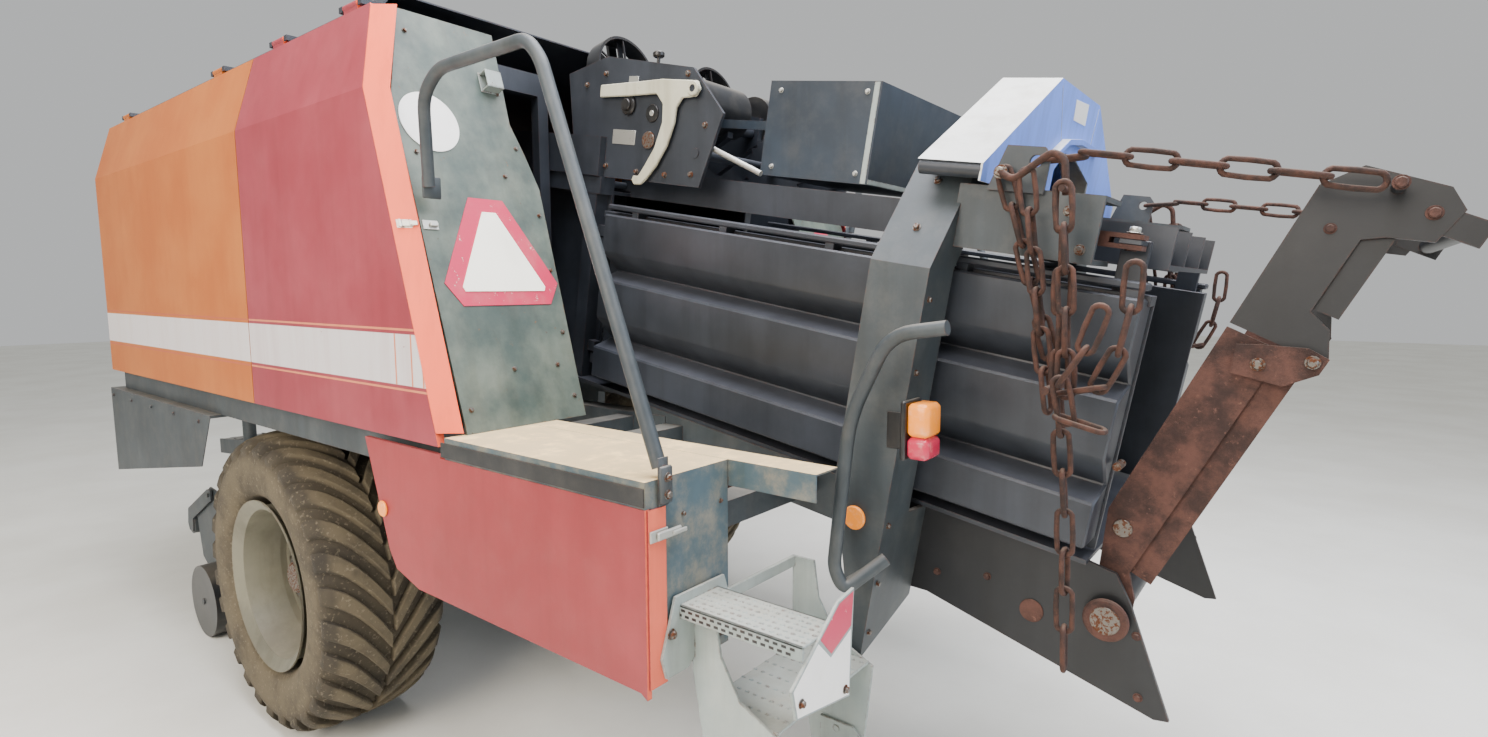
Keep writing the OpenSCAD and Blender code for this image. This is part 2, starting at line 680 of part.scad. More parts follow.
// A side panel between two distances ahead of the axle, with its leaning upper edge
module side_panel(x0, x1, rake0) {
    t = panel_t;
    r0 = rake0 * (panel_fold - panel_bottom);
    r1 = rake0 * (panel_top - panel_bottom);
    intersection() {
        cross_plate([[half_w, panel_bottom], [half_w, panel_fold], [hinge_y, panel_top],
            [hinge_y - t, panel_top - 6], [half_w - t, panel_fold - 4], [half_w - t, panel_bottom]], x0, x1 - x0);
        side_plate([[x0, panel_bottom], [x0 + r0, panel_fold], [x0 + r1, panel_top], [x1, panel_top],
            [x1, panel_bottom]], 0, half_w);
    }
    for (x = knuckle_xs) if (x > x0 && x < x1) difference() {
        union() {
            bar_x(hinge_y - 12, knuckle_z, 11, x, x + knuckle_l);
            block([x + 0.5, hinge_y - 20, panel_top - 12], [x + knuckle_l - 0.5, hinge_y - 5, knuckle_z]);
        }
        bar_x(hinge_y - 12, knuckle_z, 5.05, x - 1, x + knuckle_l + 1);
    }
}

module panel_front_side() {
    color(orange) from_axle() side_panel(panel_seam + 3, panel_front, 0);
}

module panel_rear_side() {
    color(faded_red) from_axle() side_panel(panel_rear, panel_seam - 3, tan(rear_rake));
}

module panel_front_left() { panel_front_side(); }
module panel_front_right() { mirror([0, 1, 0]) panel_front_side(); }
module panel_rear_left() { panel_rear_side(); }
module panel_rear_right() { mirror([0, 1, 0]) panel_rear_side(); }

// Raked panels that close the body's rear beside the knotters
module rear_panels() {
    lean = tan(rear_rake + 1);
    x0 = panel_rear - 48;
    color(weathered) from_axle() both_sides() intersection() {
        side_plate([[x0, deck_z + 0.3], [x0 + lean * (panel_top - deck_z), panel_top],
            [x0 + lean * (panel_top - deck_z) + 8, panel_top], [x0 + 8, deck_z + 0.3]], 0, half_w);
        cross_plate([[785, deck_z], [755, 2170], [782, 2282], [813, 2382], [800, 2690], [hinge_y - 30, 2690],
            [half_w - 40, panel_fold - 10], [half_w - 40, deck_z]], x0 - 10, 600);
    }
}

// Plain warning triangle and plain round disc
module signs() {
    lean = tan(rear_rake + 1);
    x0 = panel_rear - 48;
    place = [x0 + lean * (1790 - deck_z) - 3, 1820];
    color(cream) from_axle() {
        for (s = [1, -1]) translate([place[0], s * 975, 1790]) rotate([0, rear_rake + 1, 0]) rotate([90, 0, 90])
            linear_extrude(2) polygon([[-155, 0], [-200, 70], [-60, 345], [60, 345], [200, 70], [155, 0]]);
        translate([x0 + lean * (2340 - deck_z) - 3, 1105, 2340]) rotate([0, rear_rake + 1, 0]) rotate([0, 90, 0])
            cylinder(h = 2, r = 95);
    }
}

// Combined lamps on brackets and round reflectors
module lights() {
    color("orange") from_axle() both_sides() {
        block([-2680, arch_y + 15, 1450], [-2620, arch_y + 100, 1580]);
        block([-2621, arch_y + 0.3, 1450], [-2530, arch_y + 6, 1540]);
        block([-2621, arch_y + 0.3, 1450], [-2612, arch_y + 40, 1560]);
        bar_y(-2443, 1255, 32, arch_y + 0.3, arch_y + 12);
        bar_y(-1122, 1171, 25, half_w + 0.3, half_w + 8);
    }
}

// Boxes for the twine behind the side panels
module twine_boxes() {
    color(charcoal) from_axle() both_sides() for (x = [-1190, 60]) difference() {
        block([x, 800, 1395.3], [x + 1050, half_w - 70, 2250]);
        for (z = [1410, 1830]) block([x + 6, 806, z], [x + 1044, half_w - 60, z + 400]);
    }
}

// Frame that carries the knotters, with the side plates beside them
module knotter_frame() {
    color(charcoal) in_chamber() {
        both_sides() {
            difference() {
                side_plate([[1400, 760.3], [1330, 1000], [1480, 1140], [1900, 1180], [2110, 1120],
                    [2060, 900], [1960, 760.3]], 440, plate_t);
                bar_y(meter[0], meter[1], meter_r + 0.05, 400, 500);
            }
            block([wall_l + 30, 441, 760.3], [2400, 480, 900]);
        }
        bar_y(1600, 1000, 22, -441, 441);
        bar_y(1850, 1040, 22, -441, 441);
        bar_y(2046.8, 1028.4, 10, -441, 441);
        bar_y(trip[0], trip[1], trip_r, 451, 480);
        for (y = needle_ys)
            side_plate([[1560, 960], [1560, 1060], [1900, 1100], [1900, 900], [1750, 830]], y + 25, 30);
    }
}

// Hooked arm that starts the knotters
module trip_arm() {
    color(cream) in_chamber() difference() {
        union() {
            bar_y(trip[0], trip[1], 26, 457.3, 474);
            side_plate([[1440, 1090], [1560, 1100], [1620, 1060], [1590, 900], [1540, 800], [1510, 800],
                [1535, 900], [1560, 1030], [1540, 1060], [1440, 1050]], 460, 12);
        }
        bar_y(trip[0], trip[1], trip_r + 0.05, 400, 500);
    }
}

// Star wheel that measures the bale's length
module metering_wheel() {
    color(charcoal) in_chamber() translate([meter[0], 0, meter[1]]) rotate([90, 0, 0]) {
        linear_extrude(12, center = true) polygon([for (i = [0 : 47])
            let(r = i % 2 == 0 ? 140 : 120) [r * cos(i * 7.5), r * sin(i * 7.5)]]);
        cylinder(h = 910, r = meter_r, center = true);
    }
}

// Fans that keep the knotters clean
module fan_housing() {
    color(black) in_chamber() for (y = [-260, 260]) translate([2060, y, 1130]) rotate([0, -70, 0]) {
        difference() {
            cylinder(h = 70, r = 150);
            translate([0, 0, -1]) cylinder(h = 72, r = 140);
        }
        block([-150, -20, -12], [150, 20, 2]);
        translate([0, 0, -5]) cylinder(h = 53, r = 8);
        for (a = [0 : 60 : 179]) rotate([0, 0, a]) translate([-145, -3, 60]) cube([290, 6, 6]);
    }
}

module fan_rotor(side) {
    color(black) in_chamber() translate([2060, side * 260, 1130]) rotate([0, -70, 0]) {
        difference() {
            translate([0, 0, 15]) cylinder(h = 35, r = 35);
            cylinder(h = 60, r = 8.05);
        }
        for (a = [0 : 60 : 359]) rotate([0, 0, a]) translate([30, -25, 25]) rotate([25, 0, 0]) cube([100, 50, 4]);
    }
}

module fan_rotor_left() { fan_rotor(1); }
module fan_rotor_right() { fan_rotor(-1); }

module control_box() {
    color(slate) in_chamber() {
        block([860, -300, 830], [1270, 300, 1130]);
        for (y = [-210, 200]) block([1269, y, 985], [1577.7, y + 10, 1015]);
    }
}

// Drawbar from the main frame to the hitch
module drawbar() {
    x0 = panel_front - 1.7;
    x1 = hitch_front - 210;
    color(frame_grey) from_axle() {
        both_sides() side_plate([[x0, 882], [x0, 790], [x0 + 500, 600], [x1, hitch_z - 60], [x1, hitch_z + 60],
            [x0 + 700, 720]], 150, 14);
        block([x0 + 1, -151, 792], [x0 + 14, 151, 881]);
        difference() {
            block([x1 - 90, -151, hitch_z - 56], [x1 - 1, 151, hitch_z + 56]);
            bar_x(0, hitch_z, 30.06, x1 - 100, x1);
        }
        for (x = [2400, 3000, 3600]) block([x, -151, 602], [x + 80, 151, 618]);
    }
}

// Turning hitch ring with its shank
module hitch_ring() {
    color(frame_grey) from_axle() {
        x = hitch_front - hitch_r - 30;
        difference() {
            union() {
                translate([x, 0, hitch_z - 22]) cylinder(h = 44, r = hitch_r + 30);
                bar_x(0, hitch_z, 30, hitch_front - 290, x - hitch_r - 6);
                bar_x(0, hitch_z, 45, hitch_front - 205, hitch_front - 150);
            }
            translate([x, 0, hitch_z - 30]) cylinder(h = 60, r = hitch_r);
        }
    }
}

// Parking jack: fixed tube on the drawbar and the leg inside it
module jack_tube() {
    color(frame_grey) from_axle() difference() {
        translate([3100, 225, 420]) cylinder(h = 520, r = 45);
        translate([3100, 225, 400]) cylinder(h = 500, r = 38);
    }
    color(frame_grey) from_axle() block([3050, 164.3, 600], [3150, 186, 700]);
}

module jack_leg() {
    color(rim_grey) from_axle() {
        translate([3100, 225, 12]) cylinder(h = 840, r = 37.95);
        translate([3100, 225, 0]) cylinder(h = 12, r = 110);
    }
}

module gearbox() {
    color(frame_grey) from_axle() {
        block([panel_front - 850, -230, 1180], [panel_front - 131, 230, 2000]);
        for (x = [panel_front - 700, panel_front - 260]) block([x, -484, 1395.3], [x + 90, 484, 1420]);
        difference() {
            block([panel_front - 1.7, -100, shaft_z - 90], [panel_front + 90, 100, shaft_z + 90]);
            bar_x(0, shaft_z, shaft_r + 0.05, panel_front - 10, panel_front + 100);
        }
    }
}

module flywheel() {
    color(rust) from_axle() {
        bar_x(0, shaft_z, flywheel_r, panel_front + 150, panel_front + 230);
        bar_x(0, shaft_z, shaft_r, panel_front - 130.7, panel_front + 480);
        bar_x(0, shaft_z, spline_r, panel_front + 479, panel_front + 560);
    }
}

module flywheel_guard() {
    color(black) from_axle() difference() {
        union() {
            bar_x(0, shaft_z, flywheel_r + 40, panel_front + 100, panel_front + 270);
            both_sides() block([panel_front - 1.7, 343, 1302], [panel_front + 112, 368, 1368]);
        }
        bar_x(0, shaft_z, flywheel_r + 30, panel_front + 113, panel_front + 262);
        bar_x(0, shaft_z, flywheel_r + 10, panel_front + 90, panel_front + 115);
        bar_x(0, shaft_z, 60, panel_front + 95, panel_front + 280);
        block([panel_front, -500, 0], [panel_front + 400, 500, shaft_z - 100]);
    }
}

// Channel that lifts the crop from the pickup to the chamber
module feeder() {
    low = [[1150, 260], [300, 500], [-60, 1500]];
    color(frame_grey) from_axle() {
        both_sides() side_plate([low[0], low[1], low[2], off_axle(2995, -plate_t - 0.3),
            off_axle(3510, -plate_t - 0.3), [700, 1300], [1150, 620]], 380, 8);
        side_plate([low[0], low[1], low[2], [-50, 1500], [308, 506], [1150, 268]], -381, 762);
    }
}

module pickup_frame() {
    color(orange) from_axle() {
        both_sides() difference() {
            side_plate([[1150, 300], [1150, 710], [1500, 740], [1760, 560], [1700, 300], [1400, 140], [1230, 150]],
                reel_w / 2 + 20, 8);
            bar_y(reel_x, reel_z, 20.06, 0, half_w);
        }
        both_sides() bar_y(guard_x, guard_z, 12, reel_w / 2 + 27, reel_w / 2 + 52);
        bar_y(pickup_x, pickup_z, 28, -reel_w / 2 - 22, reel_w / 2 + 22);
        both_sides() bar_y(1250, gauge_r, 16, reel_w / 2 + 24, 1110);
    }
}

// Reel with rows of tines
module pickup_reel() {
    color(rust) from_axle() translate([reel_x, 0, reel_z]) rotate([90, 0, 0]) {
        cylinder(h = reel_w, r = 150, center = true);
        cylinder(h = reel_w + 56, r = 20, center = true);
    }
}

module wind_guard() {
    y = reel_w / 2 + 33.5;
    color(frame_grey) from_axle() {
        both_sides() difference() {
            side_plate([[guard_x - 30, guard_z - 25], [guard_x - 30, guard_z + 30], [guard_x + 20, guard_z + 30],
                [1850, 560], [1870, 470], [1850, 430], [1790, 430], [1780, 510]], y, 10);
            bar_y(guard_x, guard_z, 12.05, 900, 1100);
        }
        bar_y(1830, 470, 60, -y - 1, y + 1);
        bar_y(1820, 545, 12, -y - 1, y + 1);
        for (y = [-850 : 100 : 850]) rod([1815, y, 549], [1500, y, 722], 6);
    }
}

module gauge_wheel() {
    color(black) from_axle() translate([1250, 1060, gauge_r]) rotate([90, 0, 0]) difference() {
        cylinder(h = 90, r = gauge_r, center = true);
        cylinder(h = 100, r = 16.05, center = true);
    }
}

module gauge_wheel_left() { gauge_wheel(); }
module gauge_wheel_right() { mirror([0, 1, 0]) gauge_wheel(); }

chassis();
axle();
tyre_left();
tyre_right();
rim_left();
rim_right();
chamber();
wall_left();
wall_right();
top_door();
plunger();
needle_yoke();
arch();
arch_cover();
density_barrel_left();
density_barrel_right();
density_rod_left();
density_rod_right();
tail_plates();
chute_lower();
chute_upper();
taut_chain_left();
taut_chain_right();
hanging_chain_left();
hanging_chain_right();
decks();
skirts();
ladder();
ladder_step();
handrails();
hood();
panel_front_left();
panel_front_right();
panel_rear_left();
panel_rear_right();
rear_panels();
signs();
lights();
twine_boxes();
knotter_frame();
trip_arm();
metering_wheel();
fan_housing();
fan_rotor_left();
fan_rotor_right();
control_box();
drawbar();
hitch_ring();
jack_tube();
jack_leg();
gearbox();
flywheel();
flywheel_guard();
feeder();
pickup_frame();
pickup_reel();
wind_guard();
gauge_wheel_left();
gauge_wheel_right();
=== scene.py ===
"""Looks of a weathered square baler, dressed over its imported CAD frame.

Lengths named in a class are millimetres counted from the axle (x to the front, y to the
machine's left, z up from the ground) unless a docstring says otherwise. Meshes are in metres.
"""

import logging
import math
import random
from dataclasses import dataclass
from enum import Enum

import bmesh
import bpy
from mathutils import Matrix, Vector


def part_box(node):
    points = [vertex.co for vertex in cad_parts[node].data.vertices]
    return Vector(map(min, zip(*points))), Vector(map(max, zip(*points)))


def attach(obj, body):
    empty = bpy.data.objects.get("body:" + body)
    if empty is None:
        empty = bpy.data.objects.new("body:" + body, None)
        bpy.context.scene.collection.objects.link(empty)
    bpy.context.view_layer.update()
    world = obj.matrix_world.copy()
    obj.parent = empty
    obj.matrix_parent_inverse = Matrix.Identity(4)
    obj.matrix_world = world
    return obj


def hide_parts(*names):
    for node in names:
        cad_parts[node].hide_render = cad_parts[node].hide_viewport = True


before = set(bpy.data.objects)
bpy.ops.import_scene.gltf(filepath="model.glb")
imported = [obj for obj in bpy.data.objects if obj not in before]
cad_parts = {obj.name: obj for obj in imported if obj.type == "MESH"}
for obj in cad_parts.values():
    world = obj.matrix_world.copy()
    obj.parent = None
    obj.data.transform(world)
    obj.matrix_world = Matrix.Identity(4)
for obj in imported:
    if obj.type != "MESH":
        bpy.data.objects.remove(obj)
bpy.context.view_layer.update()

LOG = logging.getLogger("baler")
MM = 0.001
AXLE_X = sum(corner.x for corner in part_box("axle")) / 2
AXLE_Z = 630
WHEEL_Y = 1010
UP = Vector((0, 0, 1))
AHEAD = Vector((1, 0, 0))
REARWARDS = Vector((-1, 0, 0))
Point = tuple[float, float, float]
Outline = list[tuple[float, float]]


class Side(Enum):
    """Side of the machine, with the sign of its y."""

    LEFT = 1
    RIGHT = -1

    @property
    def word(self) -> str:
        """The side's name as the CAD nodes spell it."""
        return self.name.lower()

    @property
    def out(self) -> Vector:
        """The direction away from the machine's middle."""
        return Vector((0, self.value, 0))

    def mirror(self, space: Matrix) -> Matrix:
        """A space whose y counts outwards on this side."""
        return space @ Matrix.Diagonal((1, self.value, 1, 1))


def at(x: float, y: float, z: float) -> Vector:
    """Turns millimetres from the axle to a point of the frame in metres."""
    return Vector((AXLE_X + x * MM, y * MM, z * MM))


@dataclass(frozen=True)
class Slope:
    """A tilted frame of its own, such as the bale chamber's or the chute's.

    Args:
        x: Its origin ahead of the axle.
        z: Its origin's height.
        turn: Angle that its first axis rises to the front, in degrees.
    """

    x: float
    z: float
    turn: float

    def at(self, along: float, y: float, off: float) -> Vector:
        """Turns millimetres in this frame to a point in metres."""
        return self.matrix() @ Vector((along * MM, y * MM, off * MM))

    def way(self, along: float, y: float, off: float) -> Vector:
        """Turns a direction in this frame to one of the machine's."""
        return self.matrix().to_3x3() @ Vector((along, y, off))

    def matrix(self) -> Matrix:
        """The frame's place and turn."""
        place = Matrix.Translation(at(self.x, 0, self.z))
        return place @ Matrix.Rotation(-math.radians(self.turn), 4, "Y")


CHAMBER = Slope(x=-2950, z=1190, turn=9.5)
CHUTE = Slope(x=-2995, z=1048, turn=90 + 26)
GROUND = Matrix.Translation(at(0, 0, 0))
ALONG = Matrix(((1, 0, 0, 0), (0, 0, -1, 0), (0, 1, 0, 0), (0, 0, 0, 1)))
ACROSS = Matrix(((0, 0, 1, 0), (1, 0, 0, 0), (0, 1, 0, 0), (0, 0, 0, 1)))


# Shader graphs

def linear(shade: str) -> tuple[float, float, float, float]:
    """Turns an sRGB hex value to a linear colour.

    Args:
        shade: Six hex digits after a hash.

    Returns:
        Red, green, blue and a full alpha.
    """
    parts = [int(shade[i : i + 2], 16) / 255 for i in (1, 3, 5)]
    return (*(p / 12.92 if p <= 0.04045 else ((p + 0.055) / 1.055) ** 2.4 for p in parts), 1.0)


def add_node(tree: bpy.types.NodeTree, kind: str, sockets: dict | None = None,
             **settings: object) -> bpy.types.Node:
    """Adds one shader node with its settings and links.

    Args:
        tree: The material's node tree.
        kind: The node's type.
        sockets: Values or source sockets by the input's name or number.
        settings: Attributes of the node.

    Returns:
        The new node.
    """
    made = tree.nodes.new(kind)
    for name, value in settings.items():
        setattr(made, name, value)
    for key, source in (sockets or {}).items():
        if isinstance(source, bpy.types.NodeSocket):
            tree.links.new(source, made.inputs[key])
        else:
            made.inputs[key].default_value = source
    return made


@dataclass
class Shading:
    """A material under construction, with the patterns that all finishes share.

    Args:
        name: The material's name.
    """

    name: str

    def __post_init__(self) -> None:
        """Starts an empty node tree with its coordinates."""
        self.material = bpy.data.materials.new(self.name)
        self.material.use_nodes = True
        self.tree = self.material.node_tree
        self.tree.nodes.clear()
        self.coords = add_node(self.tree, "ShaderNodeTexCoord")
        self.place = self.coords.outputs["Object"]

    def stretched(self, scale: Point) -> bpy.types.NodeSocket:
        """Coordinates scaled per axis, for streaks."""
        return add_node(self.tree, "ShaderNodeMapping", {"Vector": self.place, "Scale": scale}).outputs[0]

    def patches(self, size_mm: float, low: float, high: float, detail: float = 6.0,
                rough: float = 0.6, source: bpy.types.NodeSocket | None = None) -> bpy.types.NodeSocket:
        """A soft mask of patches.

        Args:
            size_mm: Size of the patches.
            low: Noise level where the mask starts.
            high: Noise level where the mask is full.
            detail: Octaves of the noise.
            rough: Strength of the fine octaves.
            source: Coordinates other than the object's.

        Returns:
            A socket from 0 to 1.
        """
        noise = add_node(self.tree, "ShaderNodeTexNoise", {
            "Vector": source or self.place, "Scale": 1000 / size_mm, "Detail": detail, "Roughness": rough})
        return self.span(noise.outputs["Fac"], low, high)

    def span(self, source: bpy.types.NodeSocket, low: float, high: float,
             to_low: float = 0.0, to_high: float = 1.0) -> bpy.types.NodeSocket:
        """Maps a value from one range to another, eased at both ends."""
        return add_node(self.tree, "ShaderNodeMapRange", {
            "Value": source, "From Min": low, "From Max": high, "To Min": to_low, "To Max": to_high},
            interpolation_type="SMOOTHSTEP").outputs["Result"]

    def blend(self, share: bpy.types.NodeSocket | float, below: bpy.types.NodeSocket | tuple,
              above: bpy.types.NodeSocket | tuple, mode: str = "MIX") -> bpy.types.NodeSocket:
        """Lays one colour over another by a mask."""
        return add_node(self.tree, "ShaderNodeMix", {0: share, 6: below, 7: above},
                        data_type="RGBA", blend_type=mode).outputs[2]

    def combine(self, how: str, a: bpy.types.NodeSocket | float,
                b: bpy.types.NodeSocket | float) -> bpy.types.NodeSocket:
        """Joins two values with one operation."""
        return add_node(self.tree, "ShaderNodeMath", {0: a, 1: b}, operation=how).outputs[0]

    def worn_edges(self, reach_mm: float) -> bpy.types.NodeSocket:
        """A mask along outer edges, where paint wears first.

        Args:
            reach_mm: How far the wear reaches from an edge.

        Returns:
            A socket from 0 to 1.
        """
        round_off = add_node(self.tree, "ShaderNodeBevel", {"Radius": reach_mm * MM}, samples=4)
        flat = add_node(self.tree, "ShaderNodeNewGeometry")
        alike = add_node(self.tree, "ShaderNodeVectorMath", {
            0: round_off.outputs[0], 1: flat.outputs["Normal"]}, operation="DOT_PRODUCT")
        return self.span(alike.outputs["Value"], 0.97, 0.78)

    def facing(self, letter: str, low: float, high: float) -> bpy.types.NodeSocket:
        """A mask of the faces whose normal leans towards one of the object's axes."""
        split = add_node(self.tree, "ShaderNodeSeparateXYZ", {0: self.coords.outputs["Normal"]})
        return self.span(split.outputs[letter], low, high)

    def axis(self, letter: str) -> bpy.types.NodeSocket:
        """One of the object's coordinates, in metres."""
        return add_node(self.tree, "ShaderNodeSeparateXYZ", {0: self.place}).outputs[letter]

    def off_axle(self) -> bpy.types.NodeSocket:
        """Distance from the wheels' axis, in metres.

        Returns:
            A socket with the distance.
        """
        x = self.combine("SUBTRACT", self.axis("X"), AXLE_X)
        z = self.combine("SUBTRACT", self.axis("Z"), AXLE_Z * MM)
        squares = self.combine("ADD", self.combine("MULTIPLY", x, x), self.combine("MULTIPLY", z, z))
        return self.combine("SQRT", squares, 0.0)

    def relief(self, height: bpy.types.NodeSocket, depth_mm: float,
               strength: float) -> bpy.types.NodeSocket:
        """A bump from a height pattern."""
        return add_node(self.tree, "ShaderNodeBump", {
            "Height": height, "Distance": depth_mm * MM, "Strength": strength}).outputs[0]

    def close(self, **sockets: object) -> bpy.types.Material:
        """Ends the tree in one surface shader.

        Args:
            sockets: Inputs of the shader, underscores standing for spaces.

        Returns:
            The finished material.
        """
        inputs = {name.replace("_", " "): value for name, value in sockets.items()}
        surface = add_node(self.tree, "ShaderNodeBsdfPrincipled", inputs)
        add_node(self.tree, "ShaderNodeOutputMaterial", {"Surface": surface.outputs[0]})
        return self.material


@dataclass(frozen=True)
class AgedPaint:
    """Sprayed alkyd enamel on sheet steel: chalked by light, dusty, with rust where it chipped.

    Args:
        name: The material's name.
        paint: Sound enamel.
        chalk: Enamel bleached by light.
        rust: Bright rust in the chips.
        dust: Dust on level faces and in the streaks.
        chipped: Share of chips, 0 to 1.
        dusted: Strength of the dust.
        streaked: Strength of the rain streaks.
        patch_mm: Size of the bleached patches.
        roughness: Roughness of sound enamel.
        rear: Colour of faces that look to the rear, where it is another.
        rear_from: The normal's x where that colour sets in.
        deep_rust: Dark rust in the chips.
    """

    name: str
    paint: str
    chalk: str
    rust: str = "#6E3F2C"
    dust: str = "#B4AA98"
    chipped: float = 0.3
    dusted: float = 0.3
    streaked: float = 0.3
    patch_mm: float = 380
    roughness: float = 0.5
    rear: str = ""
    rear_from: float = -0.3
    deep_rust: str = "#3A2620"

    def coat(self, shading: Shading) -> bpy.types.NodeSocket:
        """The paint's colour before dust and rust, with the rear colour on faces that look to the rear; on
        the pale cover that colour is painted shade.

        Args:
            shading: The material under construction.

        Returns:
            A colour socket.
        """
        broad = shading.patches(self.patch_mm, 0.32, 0.72)
        colour = shading.blend(broad, linear(self.paint), linear(self.chalk))
        if self.rear:
            # Faces that look to the rear take the rear colour; on the pale cover it is painted shade.
            behind = shading.facing("X", self.rear_from, self.rear_from - 0.1)
            colour = shading.blend(behind, colour, linear(self.rear))
        return colour

    def build(self) -> bpy.types.Material:
        """Makes the material.

        Returns:
            The finished material.
        """
        s = Shading(self.name)
        streaks = s.patches(1000, 0.42, 0.7, 5, 0.65, s.stretched((16, 16, 1.1)))
        washed = s.combine("MULTIPLY", streaks, self.streaked)
        base = s.blend(washed, self.coat(s), linear(self.dust), "MULTIPLY")
        film = s.patches(90, 0.4, 0.75, 8, 0.7)
        uneven = s.span(film, 0, 1, 0.65, 1.0)
        level = s.combine("MULTIPLY", s.facing("Z", 0.55, 0.97), self.dusted)
        settled = s.combine("MULTIPLY", level, uneven)
        haze = s.combine("MULTIPLY", film, 0.18 * self.dusted)
        base = s.blend(s.combine("MAXIMUM", settled, haze), base, linear(self.dust))
        wear = 0.12 * self.chipped
        spots = s.patches(34, 0.74 - wear, 0.80 - wear, 9, 0.72)
        ragged = s.patches(16, 0.42, 0.62, 6, 0.7)
        edges = s.combine("MULTIPLY", s.worn_edges(7), ragged)
        rims = s.combine("MULTIPLY", edges, min(1.0, 1.6 * self.chipped))
        bare = s.combine("MAXIMUM", spots, rims)
        rust_tone = s.blend(s.patches(22, 0.35, 0.7), linear(self.rust), linear(self.deep_rust))
        colour = s.blend(bare, base, rust_tone)
        rough = s.span(bare, 0, 1, self.roughness, 0.88)
        height = s.combine("SUBTRACT", s.combine("MULTIPLY", s.patches(5, 0.2, 0.8, 3), 0.25), bare)
        return s.close(Base_Color=colour, Roughness=rough, Normal=s.relief(height, 0.6, 0.35))


@dataclass(frozen=True)
class BandedPaint(AgedPaint):
    """A side door's enamel, with the pale stripe that runs along the machine.

    Args:
        low: Lower edge of the stripe, in metres.
        high: Its upper edge.
        band: Its colour.
        trim: Colour of its edge lines and bars.
        trim_gap: How far off its edge lines are, in metres.
        bars: Where the upright bars stand along the machine, in metres.
    """

    low: float = 1.563
    high: float = 1.713
    band: str = "#D8D2D2"
    trim: str = "#D8835C"
    trim_gap: float = 0.012
    bars: tuple[float, ...] = ()

    def coat(self, shading: Shading) -> bpy.types.NodeSocket:
        """Door colour with the pale stripe, its thin edge lines and upright bars.

        Args:
            shading: The material under construction.

        Returns:
            A colour socket.
        """
        base = AgedPaint.coat(self, shading)
        z, x = shading.axis("Z"), shading.axis("X")
        outer = shading.facing("X", -0.3, -0.15)
        inside = shading.combine("MULTIPLY", shading.span(z, self.low, self.low + 0.002),
                                 shading.span(z, self.high, self.high - 0.002))
        inside = shading.combine("MULTIPLY", inside, outer)
        worn = shading.combine("SUBTRACT", inside, shading.patches(60, 0.66, 0.74, 8, 0.7))
        colour = shading.blend(worn, base, linear(self.band))
        for place in (self.low - self.trim_gap, self.high + self.trim_gap):
            away = shading.combine("ABSOLUTE", shading.combine("SUBTRACT", z, place), 0.0)
            line = shading.combine("MULTIPLY", shading.span(away, 0.004, 0.0025), outer)
            colour = shading.blend(line, colour, linear(self.trim))
        for place in self.bars:
            away = shading.combine("ABSOLUTE", shading.combine("SUBTRACT", x, place), 0.0)
            bar = shading.combine("MULTIPLY", shading.span(away, 0.005, 0.0035), inside)
            colour = shading.blend(bar, colour, linear(self.trim))
        return colour


@dataclass(frozen=True)
class WheelPaint(AgedPaint):
    """Rim enamel: pale on the flange and its step, darker towards the hub with old greasy mud and painted
    shade of the dish.

    Args:
        grease: Old greasy mud, deepened by painted shade of the dish.
    """

    grease: str = "#2E2C29"

    def coat(self, shading: Shading) -> bpy.types.NodeSocket:
        """Rim colour that darkens from the step inwards, with greasy mud and painted shade.

        Args:
            shading: The material under construction.

        Returns:
            A colour socket.
        """
        # Darker towards the hub: greasy mud and painted shade of the dish.
        inwards = shading.span(shading.off_axle(), 0.275, 0.20)
        mottled = shading.combine("MULTIPLY", inwards, shading.patches(70, 0.1, 0.6, 8, 0.7))
        return shading.blend(mottled, AgedPaint.coat(self, shading), linear(self.grease))


@dataclass(frozen=True)
class RustedSteel:
    """Bare rolled steel left outdoors: dark scale with orange and brown rust blooms.

    Args:
        name: The material's name.
        scale: Dark scale.
        bloom: Rust blooms.
        bright: Bright flecks.
        grain_mm: Size of the grain.
        roughness: Its roughness.
        dust: Dust on level faces.
    """

    name: str
    scale: str = "#33231F"
    bloom: str = "#6B4234"
    bright: str = "#8A5C46"
    grain_mm: float = 28
    roughness: float = 0.85
    dust: str = "#8C7A6A"

    def build(self) -> bpy.types.Material:
        """Makes the material.

        Returns:
            The finished material.
        """
        s = Shading(self.name)
        blooms = s.patches(self.grain_mm * 3, 0.36, 0.66, 8, 0.7)
        flecks = s.patches(self.grain_mm * 0.6, 0.58, 0.72, 8, 0.75)
        colour = s.blend(blooms, linear(self.scale), linear(self.bloom))
        colour = s.blend(flecks, colour, linear(self.bright))
        colour = s.blend(s.combine("MULTIPLY", s.facing("Z", 0.5, 0.95), 0.3), colour, linear(self.dust))
        pits = s.patches(6, 0.3, 0.7, 6, 0.7)
        return s.close(Base_Color=colour, Roughness=self.roughness, Metallic=0.15,
                       Normal=s.relief(pits, 0.9, 0.6))


